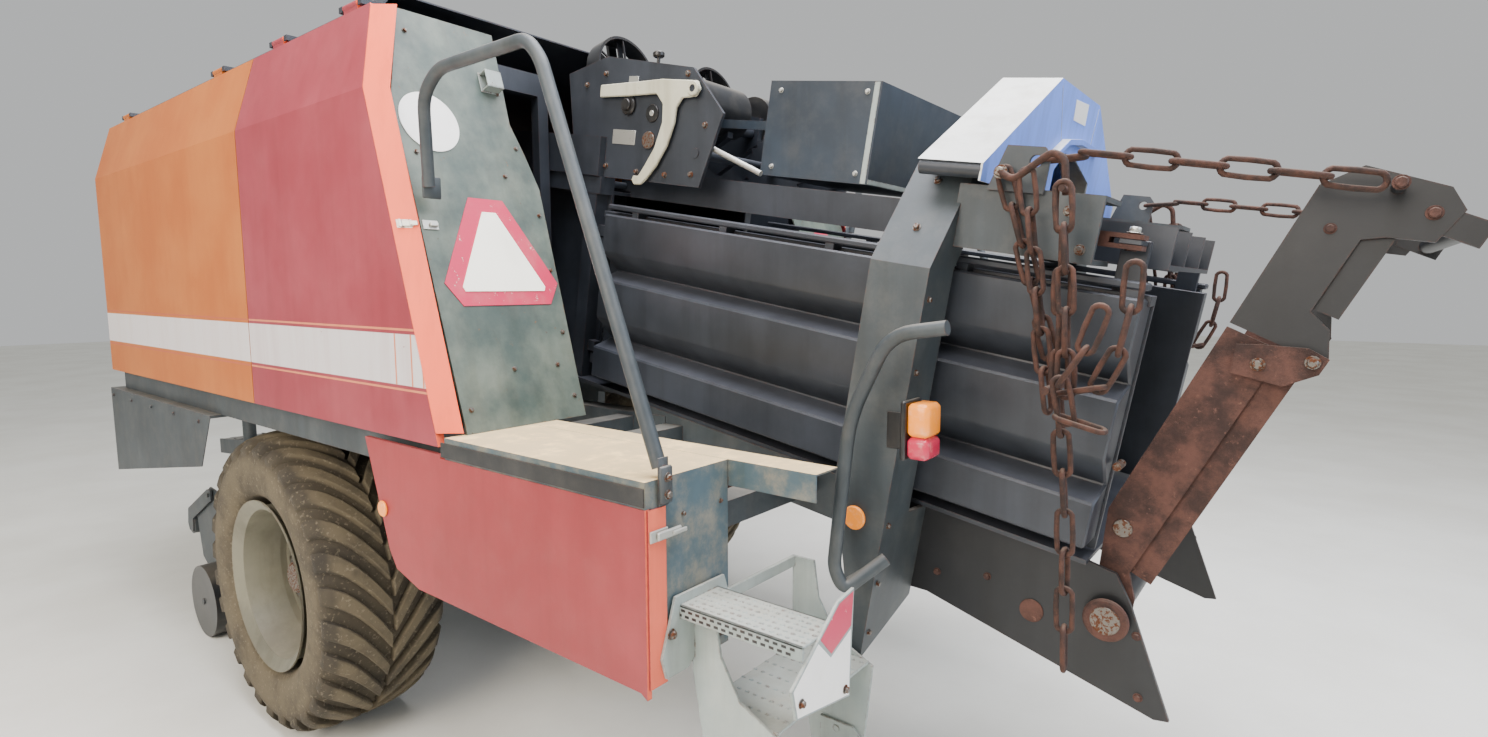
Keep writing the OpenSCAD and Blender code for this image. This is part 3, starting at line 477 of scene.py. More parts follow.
@dataclass(frozen=True)
class DustyRubber:
    """Vulcanised rubber coated in dried earth: pale on the lugs and flank, darker in the grooves with bare
    rubber and painted shade.

    Args:
        name: The material's name.
        rubber: Bare rubber and painted shade in the grooves.
        damp: Thin earth.
        earth: Caked earth.
        crust: Pale crumbs.
        floor: Distance from the axle where the grooves begin, in metres.
    """

    name: str
    rubber: str = "#221F1B"
    damp: str = "#3E382E"
    earth: str = "#605643"
    crust: str = "#857A66"
    floor: float = 0.612

    def build(self) -> bpy.types.Material:
        """Makes the material.

        Returns:
            The finished material.
        """
        s = Shading(self.name)
        out = s.off_axle()
        caked = s.patches(150, 0.25, 0.6, 8, 0.65)
        colour = s.blend(caked, linear(self.damp), linear(self.earth))
        # The grooves darken: partly bare rubber, partly painted shade.
        groove = s.combine("MULTIPLY", s.span(out, self.floor, self.floor - 0.016),
                           s.span(out, 0.50, 0.56))
        colour = s.blend(s.combine("MULTIPLY", groove, 0.6), colour, linear(self.rubber))
        flakes = s.combine("MULTIPLY", s.patches(14, 0.55, 0.7, 6), 0.5)
        colour = s.blend(flakes, colour, linear(self.crust))
        grain = s.patches(5, 0.25, 0.75, 6, 0.7)
        return s.close(Base_Color=colour, Roughness=0.92, Normal=s.relief(grain, 1.2, 0.5))


@dataclass(frozen=True)
class LampPlastic:
    """Moulded acrylic of a lamp or reflector, dusty, with faint painted light shining in it.

    Args:
        name: The material's name.
        tint: The plastic.
        glow: Strength of the painted light in it.
        grime: Dust on it.
    """

    name: str
    tint: str
    glow: float = 0.25
    grime: str = "#C8B8A4"

    def build(self) -> bpy.types.Material:
        """Makes the material.

        Returns:
            The finished material.
        """
        s = Shading(self.name)
        dulled = s.combine("MULTIPLY", s.patches(18, 0.5, 0.75, 6), 0.3)
        colour = s.blend(dulled, linear(self.tint), linear(self.grime))
        ribs = add_node(s.tree, "ShaderNodeTexWave", {"Vector": s.place, "Scale": 90.0},
                        bands_direction="Z")
        # Emission is painted light in the plastic.
        return s.close(Base_Color=colour, Roughness=0.22, Coat_Weight=0.4,
                       Emission_Color=linear(self.tint), Emission_Strength=self.glow,
                       Normal=s.relief(ribs.outputs["Fac"], 0.4, 0.25))


@dataclass(frozen=True)
class MarkFilm:
    """Reflective film stuck on a sheet plate: clean colour, flaking at its edges.

    Args:
        name: The material's name.
        film: The film.
        under: The plate where it is torn.
        flaked: Share of torn film, 0 to 1.
        glow: Strength of its shine, which is painted light.
        grime: Dust on it.
    """

    name: str
    film: str
    under: str = "#CFC7B4"
    flaked: float = 0.4
    glow: float = 0.0
    grime: str = "#B7AC98"

    def build(self) -> bpy.types.Material:
        """Makes the material.

        Returns:
            The finished material.
        """
        s = Shading(self.name)
        wear = 0.14 * self.flaked
        torn = s.patches(26, 0.70 - wear, 0.73 - wear, 8, 0.75)
        colour = s.blend(torn, linear(self.film), linear(self.under))
        soiled = s.combine("MULTIPLY", s.patches(120, 0.45, 0.75), 0.2)
        colour = s.blend(soiled, colour, linear(self.grime))
        # Emission paints the film's shine.
        return s.close(Base_Color=colour, Roughness=0.42, Emission_Color=linear(self.film),
                       Emission_Strength=self.glow, Normal=s.relief(torn, 0.3, 0.4))


@dataclass(frozen=True)
class PlatedSteel:
    """Zinc-plated fittings and bolts: dull bright metal, spotted by rust.

    Args:
        name: The material's name.
        metal: The plating.
        spotted: Share of rust spots, 0 to 1.
        rust: Their colour.
    """

    name: str
    metal: str = "#9C9C96"
    spotted: float = 0.4
    rust: str = "#6E4630"

    def build(self) -> bpy.types.Material:
        """Makes the material.

        Returns:
            The finished material.
        """
        s = Shading(self.name)
        wear = 0.2 * self.spotted
        spots = s.patches(9, 0.66 - wear, 0.74 - wear, 6, 0.7)
        colour = s.blend(spots, linear(self.metal), linear(self.rust))
        return s.close(Base_Color=colour, Metallic=0.7, Roughness=s.span(spots, 0, 1, 0.38, 0.9))


# Modelling

def start_clean() -> None:
    """Leaves edit mode and deselects all objects."""
    if bpy.context.mode != "OBJECT":
        bpy.ops.object.mode_set(mode="OBJECT")
    bpy.ops.object.select_all(action="DESELECT")


def pick(piece: bpy.types.Object) -> None:
    """Makes one object the only selected and active one.

    Args:
        piece: The object.
    """
    start_clean()
    piece.select_set(True)
    bpy.context.view_layer.objects.active = piece


def join(parts: list[bpy.types.Object], name: str) -> bpy.types.Object:
    """Joins meshes to one object.

    Args:
        parts: The meshes.
        name: The joined object's name.

    Returns:
        The joined object.
    """
    pick(parts[0])
    for part in parts:
        part.select_set(True)
    if len(parts) > 1:
        bpy.ops.object.join()
    parts[0].name = name
    return parts[0]


def settle(piece: bpy.types.Object, name: str, finish: bpy.types.Material, body: str,
           smooth: float | None = 35) -> bpy.types.Object:
    """Bakes a piece's place into its mesh, turns its faces out, dresses it and seats it on its body.

    Args:
        piece: The modelled object.
        name: Its name.
        finish: Its material.
        body: The CAD body that it rides on.
        smooth: Angle under which edges shade smooth, in degrees, or None.

    Returns:
        The finished piece.
    """
    pick(piece)
    bpy.ops.object.transform_apply(location=True, rotation=True, scale=True)
    bpy.ops.object.mode_set(mode="EDIT")
    bpy.ops.mesh.select_all(action="SELECT")
    bpy.ops.mesh.normals_make_consistent(inside=False)
    bpy.ops.object.mode_set(mode="OBJECT")
    if smooth is not None:
        bpy.ops.object.shade_smooth_by_angle(angle=math.radians(smooth))
    piece.name = name
    piece.data.materials.clear()
    piece.data.materials.append(finish)
    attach(piece, body)
    return piece


def assemble(parts: list[bpy.types.Object], name: str, finish: bpy.types.Material, body: str,
             smooth: float | None = 35) -> bpy.types.Object:
    """Joins parts to one piece and settles it; the values are those of settle()."""
    return settle(join(parts, name), name, finish, body, smooth)


def soften(piece: bpy.types.Object, width_mm: float, segments: int = 2) -> bpy.types.Object:
    """Rounds a piece's edges with an applied bevel.

    Args:
        piece: The piece.
        width_mm: Width of the bevel.
        segments: Its steps.

    Returns:
        The same piece.
    """
    pick(piece)
    bevel = piece.modifiers.new("edge", "BEVEL")
    bevel.width = width_mm * MM
    bevel.segments = segments
    bevel.limit_method = "ANGLE"
    bpy.ops.object.modifier_apply(modifier=bevel.name)
    return piece


def block(low: Point, high: Point, space: Matrix = GROUND, round_mm: float = 1.5) -> bpy.types.Object:
    """A block between two corners, given in millimetres of a space, with rounded edges.

    Args:
        low: One corner.
        high: The opposite corner.
        space: The space that they are given in.
        round_mm: Width of the edges' bevel, kept under 35 % of the thinnest side.

    Returns:
        The block.
    """
    start_clean()
    bpy.ops.mesh.primitive_cube_add(size=1)
    made = bpy.context.object
    middle = [(a + b) / 2 * MM for a, b in zip(low, high)]
    size = [abs(b - a) * MM for a, b in zip(low, high)]
    made.data.transform(Matrix.Translation(middle) @ Matrix.Diagonal((*size, 1)))
    soften(made, min(round_mm, 350 * min(size)), 1)
    made.data.transform(space)
    return made


def outlined(outline: Outline, near: float, far: float, space: Matrix,
             round_mm: float = 1.0) -> bpy.types.Object:
    """A plate extruded from its outline.

    Args:
        outline: Corners in the space's first two axes, in millimetres.
        near: Where the plate starts on the third axis.
        far: Where it ends.
        space: Its place.
        round_mm: Radius of its edges.

    Returns:
        The plate.
    """
    start_clean()
    bpy.ops.mesh.primitive_circle_add(vertices=len(outline), radius=1, fill_type="NGON")
    plate = bpy.context.object
    for vertex, (across, up) in zip(plate.data.vertices, outline):
        vertex.co = Vector((across, up, near)) * MM
    bpy.ops.object.mode_set(mode="EDIT")
    bpy.ops.mesh.select_all(action="SELECT")
    bpy.ops.mesh.extrude_region_move(TRANSFORM_OT_translate={"value": (0, 0, (far - near) * MM)})
    bpy.ops.mesh.select_all(action="SELECT")
    bpy.ops.mesh.normals_make_consistent(inside=False)
    bpy.ops.object.mode_set(mode="OBJECT")
    if round_mm:
        soften(plate, round_mm, 1)
    plate.data.transform(space)
    return plate


def side_plate(outline: Outline, y0: float, y1: float, space: Matrix = GROUND,
               round_mm: float = 1.0) -> bpy.types.Object:
    """An upright plate along the machine, its outline in x and z."""
    return outlined(outline, -y0, -y1, space @ ALONG, round_mm)


def cross_plate(outline: Outline, x0: float, x1: float, space: Matrix = GROUND,
                round_mm: float = 1.0) -> bpy.types.Object:
    """An upright plate across the machine, its outline in y and z."""
    return outlined(outline, x0, x1, space @ ACROSS, round_mm)


def tube(points: list[Vector], radius_mm: float, bend_mm: float = 60, sides: int = 5) -> bpy.types.Object:
    """A bent round tube: straight runs joined by arcs.

    Args:
        points: Its corners, in metres.
        radius_mm: Outer radius.
        bend_mm: Radius of the bends.
        sides: Fineness of its section.

    Returns:
        A mesh object with closed ends.
    """
    start_clean()
    path: list[Vector] = [points[0]]
    for before, corner, after in zip(points, points[1:], points[2:]):
        back, on = (before - corner).normalized(), (after - corner).normalized()
        cut = min(bend_mm * MM, (before - corner).length * 0.45, (after - corner).length * 0.45)
        for step in range(7):
            a, b, t = corner + back * cut, corner + on * cut, step / 6
            path.append(a.lerp(corner, t).lerp(corner.lerp(b, t), t))
    path.append(points[-1])
    curve = bpy.data.curves.new("tube", "CURVE")
    curve.dimensions = "3D"
    spline = curve.splines.new("POLY")
    spline.points.add(len(path) - 1)
    for point, place in zip(spline.points, path):
        point.co = (*place, 1)
    curve.bevel_depth = radius_mm * MM
    curve.bevel_resolution = sides
    curve.use_fill_caps = True
    drawn = bpy.data.objects.new("tube", curve)
    bpy.context.scene.collection.objects.link(drawn)
    pick(drawn)
    bpy.ops.object.convert(target="MESH")
    return drawn


def toward(direction: Vector) -> Matrix:
    """The turn that brings the z axis to a direction."""
    return direction.to_track_quat("Z", "Y").to_matrix().to_4x4()


def disc(place: Vector, normal: Vector, radius_mm: float, thick_mm: float,
         sides: int = 24) -> bpy.types.Object:
    """A round boss with a rounded rim, its foot at a point of a surface.

    Args:
        place: Middle of its foot, in metres.
        normal: Direction that it rises in.
        radius_mm: Its radius.
        thick_mm: Its height.
        sides: Corners of its outline.

    Returns:
        The boss.
    """
    start_clean()
    bpy.ops.mesh.primitive_cylinder_add(vertices=sides, radius=radius_mm * MM, depth=thick_mm * MM)
    made = bpy.context.object
    made.data.transform(Matrix.Translation((0, 0, thick_mm * MM / 2)))
    soften(made, min(thick_mm * 0.3, radius_mm * 0.2), 1)
    made.data.transform(Matrix.Translation(place) @ toward(normal))
    return made


def bolt(place: Vector, normal: Vector, across_mm: float = 16) -> bpy.types.Object:
    """A hexagon head on a washer, its seat at a point of a plate.

    Args:
        place: Middle of its seat, in metres.
        normal: Direction that it stands out in.
        across_mm: About the width across the head's flats.

    Returns:
        Head and washer as one mesh.
    """
    washer_mm = 2
    washer = disc(Vector(), UP, across_mm * 0.72, washer_mm, 14)
    head = disc(UP * washer_mm * MM, UP, across_mm * 0.56, across_mm * 0.5, 6)
    both = join([head, washer], "bolt")
    both.data.transform(Matrix.Translation(place) @ toward(normal))
    return both


# Sub-assemblies

@dataclass(frozen=True)
class SoftLight:
    """A square area light, soft as a hall's window or roof sheet.

    Args:
        name: Its name.
        place: Where it hangs, in millimetres from the axle.
        aim: The point that it faces.
        size: Its side in metres.
        watts: Its power.
        tint: Its colour.
    """

    name: str
    place: Point
    aim: Point
    size: float
    watts: float
    tint: str

    def hang(self) -> None:
        """Puts the light into the scene."""
        data = bpy.data.lights.new(self.name, "AREA")
        data.size, data.energy, data.color = self.size, self.watts, linear(self.tint)[:3]
        light = bpy.data.objects.new(self.name, data)
        bpy.context.scene.collection.objects.link(light)
        aimed = (at(*self.aim) - at(*self.place)).to_track_quat("-Z", "Y").to_matrix().to_4x4()
        light.matrix_world = Matrix.Translation(at(*self.place)) @ aimed


@dataclass
class Studio:
    """The camera at the photograph's place, a pale floor and soft light.

    Args:
        place: The camera, in millimetres from the axle.
        heading: Its turn from straight ahead towards the right, in degrees.
        dip: Its look below the horizon, in degrees.
        roll: Its roll, in degrees.
        focal: Focal length on a 36 mm wide sensor.
        lights: The soft lights.
        sky: Colour of the light from all round.
        sky_strength: Its strength.
        floor_size: Side of the floor in metres.
    """

    place: Point = (-3379, 2359, 1844)
    heading: float = 51.935
    dip: float = 6.183
    roll: float = -0.118
    focal: float = 18.198
    lights: tuple[SoftLight, ...] = (
        SoftLight("window_light", (-1800, 6500, 4600), (-300, 0, 1000), 4.5, 560, "#FFF4E6"),
        SoftLight("roof_light", (-2500, 500, 6500), (-500, 0, 1000), 5.0, 980, "#F8F8FF"),
        SoftLight("rear_light", (-8500, -1500, 3800), (-2500, 0, 1300), 4.5, 300, "#DCE8FF"),
    )
    sky: str = "#E9EBEC"
    sky_strength: float = 0.68
    floor_size: float = 60

    def build(self) -> None:
        """Makes the camera, floor and lights."""
        self.camera()
        self.floor()
        for light in self.lights:
            light.hang()
        world = bpy.data.worlds.new("hall")
        world.use_nodes = True
        background = world.node_tree.nodes["Background"]
        background.inputs["Color"].default_value = linear(self.sky)
        background.inputs["Strength"].default_value = self.sky_strength
        bpy.context.scene.world = world

    def camera(self) -> None:
        """Makes the camera and looks through it."""
        data = bpy.data.cameras.new("photo_camera")
        data.lens, data.sensor_width = self.focal, 36
        camera = bpy.data.objects.new("photo_camera", data)
        bpy.context.scene.collection.objects.link(camera)
        dip, heading = math.radians(self.dip), math.radians(-self.heading)
        look = Vector((math.cos(dip) * math.cos(heading), math.cos(dip) * math.sin(heading), -math.sin(dip)))
        spin = look.to_track_quat("-Z", "Y").to_matrix().to_4x4()
        camera.matrix_world = (Matrix.Translation(at(*self.place)) @ spin
                               @ Matrix.Rotation(math.radians(self.roll), 4, "Z"))
        bpy.context.scene.camera = camera

    def floor(self) -> None:
        """A plain pale concrete floor."""
        start_clean()
        bpy.ops.mesh.primitive_plane_add(size=self.floor_size)
        floor = bpy.context.object
        floor.name = "hall_floor"
        s = Shading("pale_concrete")
        colour = s.blend(s.patches(900, 0.3, 0.7), linear("#F2F1E8"), linear("#E8E6DC"))
        floor.data.materials.append(s.close(Base_Color=colour, Roughness=0.9))


class Finishes:
    """All materials of the machine, by what they are."""

    def __init__(self) -> None:
        """Makes every material once."""
        bars = tuple(at(x, 0, 0).x for x in (-1240, -1330, -1390))
        recipes = (
            BandedPaint("orange_door_enamel", "#B45E18", "#BE6E28", dust="#C9965F", chipped=0.1, dusted=0.2,
                        streaked=0.1, trim="#B5593A"),
            BandedPaint("red_door_enamel", "#912F3A", "#9E404A", dust="#B47A76", chipped=0.16, dusted=0.25,
                        streaked=0.15, bars=bars, rear="#FA6238", rear_from=-0.25),
            AgedPaint("red_skirt_enamel", "#8C282C", "#9C363A", dust="#B98880", chipped=0.25, dusted=0.25,
                      streaked=0.15, rear="#E8684A", rear_from=-0.6),
            AgedPaint("grey_frame_enamel", "#32393D", "#424A4E", chipped=0.4, dusted=0.35),
            AgedPaint("deck_box_enamel", "#3C4F57", "#4E6169", dust="#F8D79C", chipped=0.3, dusted=1.0),
            AgedPaint("charcoal_enamel", "#272B31", "#353A42", dust="#757780", chipped=0.25, dusted=0.25,
                      roughness=0.42),
            AgedPaint("black_scale_enamel", "#0E1013", "#191B1F", rust="#5A3A30", dust="#5E5A54", chipped=0.5,
                      dusted=0.2, roughness=0.45),
            # The cover's blue rear faces are painted shade.
            AgedPaint("pale_cover_enamel", "#D8DBD8", "#E8EAE6", chipped=0.15, dusted=0.2,
                      rear="#7598F2", rear_from=-0.5),
            AgedPaint("rear_panel_enamel", "#3C4B46", "#6B7468", rust="#7E5A3A", chipped=0.85, dusted=0.3,
                      patch_mm=220),
            WheelPaint("rim_enamel", "#626053", "#7A7765", chipped=0.3, dusted=0.3),
            AgedPaint("slate_box_enamel", "#1F2A35", "#2C3946", chipped=0.15, dusted=0.25),
            AgedPaint("cream_arm_enamel", "#B9B7A0", "#CFCDBC", chipped=0.5, dusted=0.2),
            AgedPaint("pale_step_enamel", "#8E9A98", "#AEB6B0", chipped=0.55, dusted=0.5),
            AgedPaint("black_enamel", "#17181A", "#25272A", chipped=0.15, dusted=0.3, roughness=0.3),
            RustedSteel("rusty_steel", "#33231F", "#5C3D34", "#7A564A"),
            RustedSteel("rusty_chain", "#2B1F1B", "#54362B", "#70493A", 14),
            DustyRubber("earthy_rubber"),
            # Lenses and reflectors shine by painted light.
            LampPlastic("amber_lens", "#FF9420"),
            LampPlastic("red_lens", "#C02848", 0.12),
            MarkFilm("crimson_film", "#C8244E", flaked=0.55),
            # The cream face shines by painted light.
            MarkFilm("cream_film", "#FFFDEE", "#EDE7D4", 0.1, 0.3),
            MarkFilm("white_film", "#F1EFEA", "#B9B5A8", 0.1),
            PlatedSteel("zinc_plate", "#BDBDB6", 0.2),
            PlatedSteel("old_bolt", "#6E6A64", 0.9),
        )
        self.by_name = {recipe.name: recipe.build() for recipe in recipes}

    def __getitem__(self, name: str) -> bpy.types.Material:
        """A material by its name."""
        return self.by_name[name]


@dataclass
class CarriedNodes:
    """The CAD nodes that stay, and what each is painted with.

    Args:
        finishes: The machine's finishes, by name.
        default: Finish of the nodes that no group names.
    """

    finishes: Finishes
    default: str = "grey_frame_enamel"

    def groups(self) -> dict[str, tuple[str, ...]]:
        """Finish names with the nodes that wear them."""
        return {
            "orange_door_enamel": ("panel_front_left", "panel_front_right"),
            "red_door_enamel": ("panel_rear_left", "panel_rear_right"),
            "red_skirt_enamel": ("skirts",),
            "charcoal_enamel": ("chamber", "wall_left", "wall_right", "top_door", "hood", "knotter_frame",
                                "metering_wheel", "twine_boxes"),
            "black_scale_enamel": ("tail_plates", "chute_upper"),
            "pale_cover_enamel": ("arch_cover",),
            "rear_panel_enamel": ("rear_panels",),
            "deck_box_enamel": ("decks",),
            "rim_enamel": ("rim_left", "rim_right"),
            "pale_step_enamel": ("jack_leg", "ladder_step"),
            "slate_box_enamel": ("control_box",),
            "cream_arm_enamel": ("trip_arm", "signs"),
            "black_enamel": ("fan_housing", "fan_rotor_left", "fan_rotor_right", "flywheel_guard",
                             "gauge_wheel_left", "gauge_wheel_right"),
            "rusty_steel": ("chute_lower", "needle_yoke", "density_rod_left", "density_rod_right",
                            "flywheel", "pickup_reel"),
            "rusty_chain": ("taut_chain_left", "taut_chain_right", "hanging_chain_left",
                            "hanging_chain_right"),
            "earthy_rubber": ("tyre_left", "tyre_right"),
            "amber_lens": ("lights",),
        }

    def dress(self) -> None:
        """Assigns a finish to every CAD node."""
        chosen = {node: finish for finish, nodes in self.groups().items() for node in nodes}
        for name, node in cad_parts.items():
            node.data.materials.clear()
            node.data.materials.append(self.finishes[chosen.get(name, self.default)])


@dataclass
class Tyre:
    """A wide low-pressure tyre with swept lugs.

    Args:
        side: Side of the machine.
        radius: Over the lugs.
        width: Over the side walls.
        bead: Radius of the bead seat.
        flank: Radius at the widest part of the side walls.
        lugs: Lugs on each half of the tread.
        squareness: Exponent that makes the section square across the tread.
        fullness: Exponent that fills its shoulders.
        tread_spread: Exponent that spaces the rings of faces over the tread.
        wall_spread: Exponent that spaces them over the side walls.
        wall_curve: Exponent of the side walls' curve.
        lug_depth: Height of a lug.
        lug_width: Width of a lug at the middle of the tread.
        lug_flare: How much wider a lug is at the shoulder.
        lug_sweep: Angle that a lug trails from middle to shoulder, in radians.
        lug_root: How deep a lug's foot is sunk in the carcass.
        lug_reach: Where a lug starts and ends, as shares of the half width.
        lug_cuts: Cuts along a lug, so that it can bend.
        lug_taper: Width of a lug's top as a share of its foot's.
        lug_end: Share of a lug's length where its overhanging end begins.
        overhang: How far that end stands out, as a factor.
        shoulder: Share of the half width where the lugs' tops begin to fall.
        shoulder_fall: How far they would fall over a whole half width.
    """

    side: Side
    radius: float = 629
    width: float = 470
    bead: float = 335
    flank: float = 475
    lugs: int = 28
    squareness: float = 2.78
    fullness: float = 0.25
    tread_spread: float = 0.72
    wall_spread: float = 0.4
    wall_curve: float = 0.7
    lug_depth: float = 28
    lug_width: float = 76
    lug_flare: float = 14
    lug_sweep: float = 0.40
    lug_root: float = 12
    lug_reach: tuple[float, float] = (0.02, 0.975)
    lug_cuts: int = 9
    lug_taper: float = 0.8
    lug_end: float = 0.8
    overhang: float = 1.02
    shoulder: float = 0.72
    shoulder_fall: float = 60

    def build(self, finish: bpy.types.Material) -> None:
        """Models carcass and lugs, and takes the CAD tyre's place.

        Args:
            finish: The rubber.
        """
        parts = [self.carcass()]
        for half in (1, -1):
            pattern = self.lug(half)
            for step in range(self.lugs):
                copy = pattern.copy()
                copy.data = pattern.data.copy()
                bpy.context.scene.collection.objects.link(copy)
                turn = 2 * math.pi * (step + (0.5 if half < 0 else 0)) / self.lugs
                copy.data.transform(Matrix.Rotation(turn, 4, "Y"))
                parts.append(copy)
            bpy.data.objects.remove(pattern)
        word = self.side.word
        tyre = join(parts, "tyre_tread_" + word)
        tyre.data.transform(Matrix.Translation(at(0, self.side.value * WHEEL_Y, AXLE_Z)))
        settle(tyre, "tyre_tread_" + word, finish, "wheel_" + word, 40)
        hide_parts("tyre_" + self.side.word)

    def skin(self, across: float) -> float:
        """The carcass's radius at a share of the half width from the middle, from 0 to 1."""
        share = (1 - min(abs(across), 1) ** self.squareness) ** self.fullness
        return self.flank + (self.radius - self.lug_depth - self.flank) * share

    def carcass(self) -> bpy.types.Object:
        """The round body: a torus whose section is drawn out to the tyre's squarish one.

        Returns:
            The body, its middle at the origin.
        """
        start_clean()
        bpy.ops.mesh.primitive_torus_add(major_segments=96, minor_segments=36, major_radius=1,
                                         minor_radius=0.3, rotation=(math.pi / 2, 0, 0))
        body = bpy.context.object
        bpy.ops.object.transform_apply(rotation=True)
        for vertex in body.data.vertices:
            ring = math.hypot(vertex.co.x, vertex.co.z)
            turn = math.atan2(vertex.co.z, vertex.co.x)
            around = math.atan2(vertex.co.y, ring - 1)
            wide = abs(math.sin(around))
            if math.cos(around) >= 0:
                across = wide ** self.tread_spread
                radius = self.skin(across)
            else:
                across = wide ** self.wall_spread * (0.9 + 0.1 * wide)
                inwards = abs(math.cos(around)) ** self.wall_curve
                radius = self.flank + (self.bead - self.flank) * inwards
            y = math.copysign(across * self.width / 2, vertex.co.y)
            vertex.co = Vector((math.cos(turn) * radius, y, math.sin(turn) * radius)) * MM
        return body

    def lug(self, half: int) -> bpy.types.Object:
        """One swept lug of a half of the tread, from past the middle down over the shoulder.

        Args:
            half: 1 for the half on the machine's left, -1 for the other.

        Returns:
            The lug, at the top of a wheel whose middle is the origin.
        """
        start_clean()
        bpy.ops.mesh.primitive_cube_add(size=2)
        lug = bpy.context.object
        bpy.ops.object.mode_set(mode="EDIT")
        bpy.ops.mesh.select_all(action="DESELECT")
        edit = bmesh.from_edit_mesh(lug.data)
        for edge in edit.edges:
            along = (edge.verts[0].co - edge.verts[1].co).normalized()
            edge.select = abs(along.y) > 0.9
        bmesh.update_edit_mesh(lug.data)
        bpy.ops.mesh.subdivide(number_cuts=self.lug_cuts)
        bpy.ops.object.mode_set(mode="OBJECT")
        first, last = self.lug_reach
        for vertex in lug.data.vertices:
            t = (vertex.co.y + 1) / 2
            across = first + (last - first) * t
            low = self.skin(across)
            fall = self.shoulder_fall * max(0, across - self.shoulder)
            top = min(low + self.lug_depth, self.radius - fall)
            half_width = (self.lug_width + self.lug_flare * t) / 2
            raised = vertex.co.z > 0
            angle = self.lug_sweep * (1 - (1 - t) ** 1.5)
            angle += vertex.co.x * half_width * (self.lug_taper if raised else 1.0) / self.radius
            proud = self.overhang if raised and t > self.lug_end else 1.0
            y = half * across * self.width / 2 * proud
            rise = top if raised else low - self.lug_root
            vertex.co = Vector((math.sin(angle) * rise, y, math.cos(angle) * rise)) * MM
        return soften(lug, 4, 1)


@dataclass
class WheelFittings:
    """Hub cap and ring of nuts on the outer face of each rim's dish.

    Args:
        dish: The dish's outer face from the wheel's middle.
        hub: The hub's outer face from the wheel's middle.
        pitch: Radius of the ring of nuts.
        nuts: Number of nuts.
    """

    dish: float = 34
    hub: float = 90
    pitch: float = 142
    nuts: int = 8

    def build(self, finishes: Finishes) -> None:
        """Models both wheels' fittings."""
        for side in Side:
            s = side.value
            parts = [disc(at(0, s * (WHEEL_Y + self.hub), AXLE_Z), side.out, 66, 26, 32)]
            for step in range(self.nuts):
                turn = 2 * math.pi * step / self.nuts
                place = at(self.pitch * math.cos(turn), s * (WHEEL_Y + self.dish),
                           AXLE_Z + self.pitch * math.sin(turn))
                parts.append(bolt(place, side.out, 27))
            assemble(parts, "wheel_nuts_" + side.word, finishes["old_bolt"], "wheel_" + side.word)


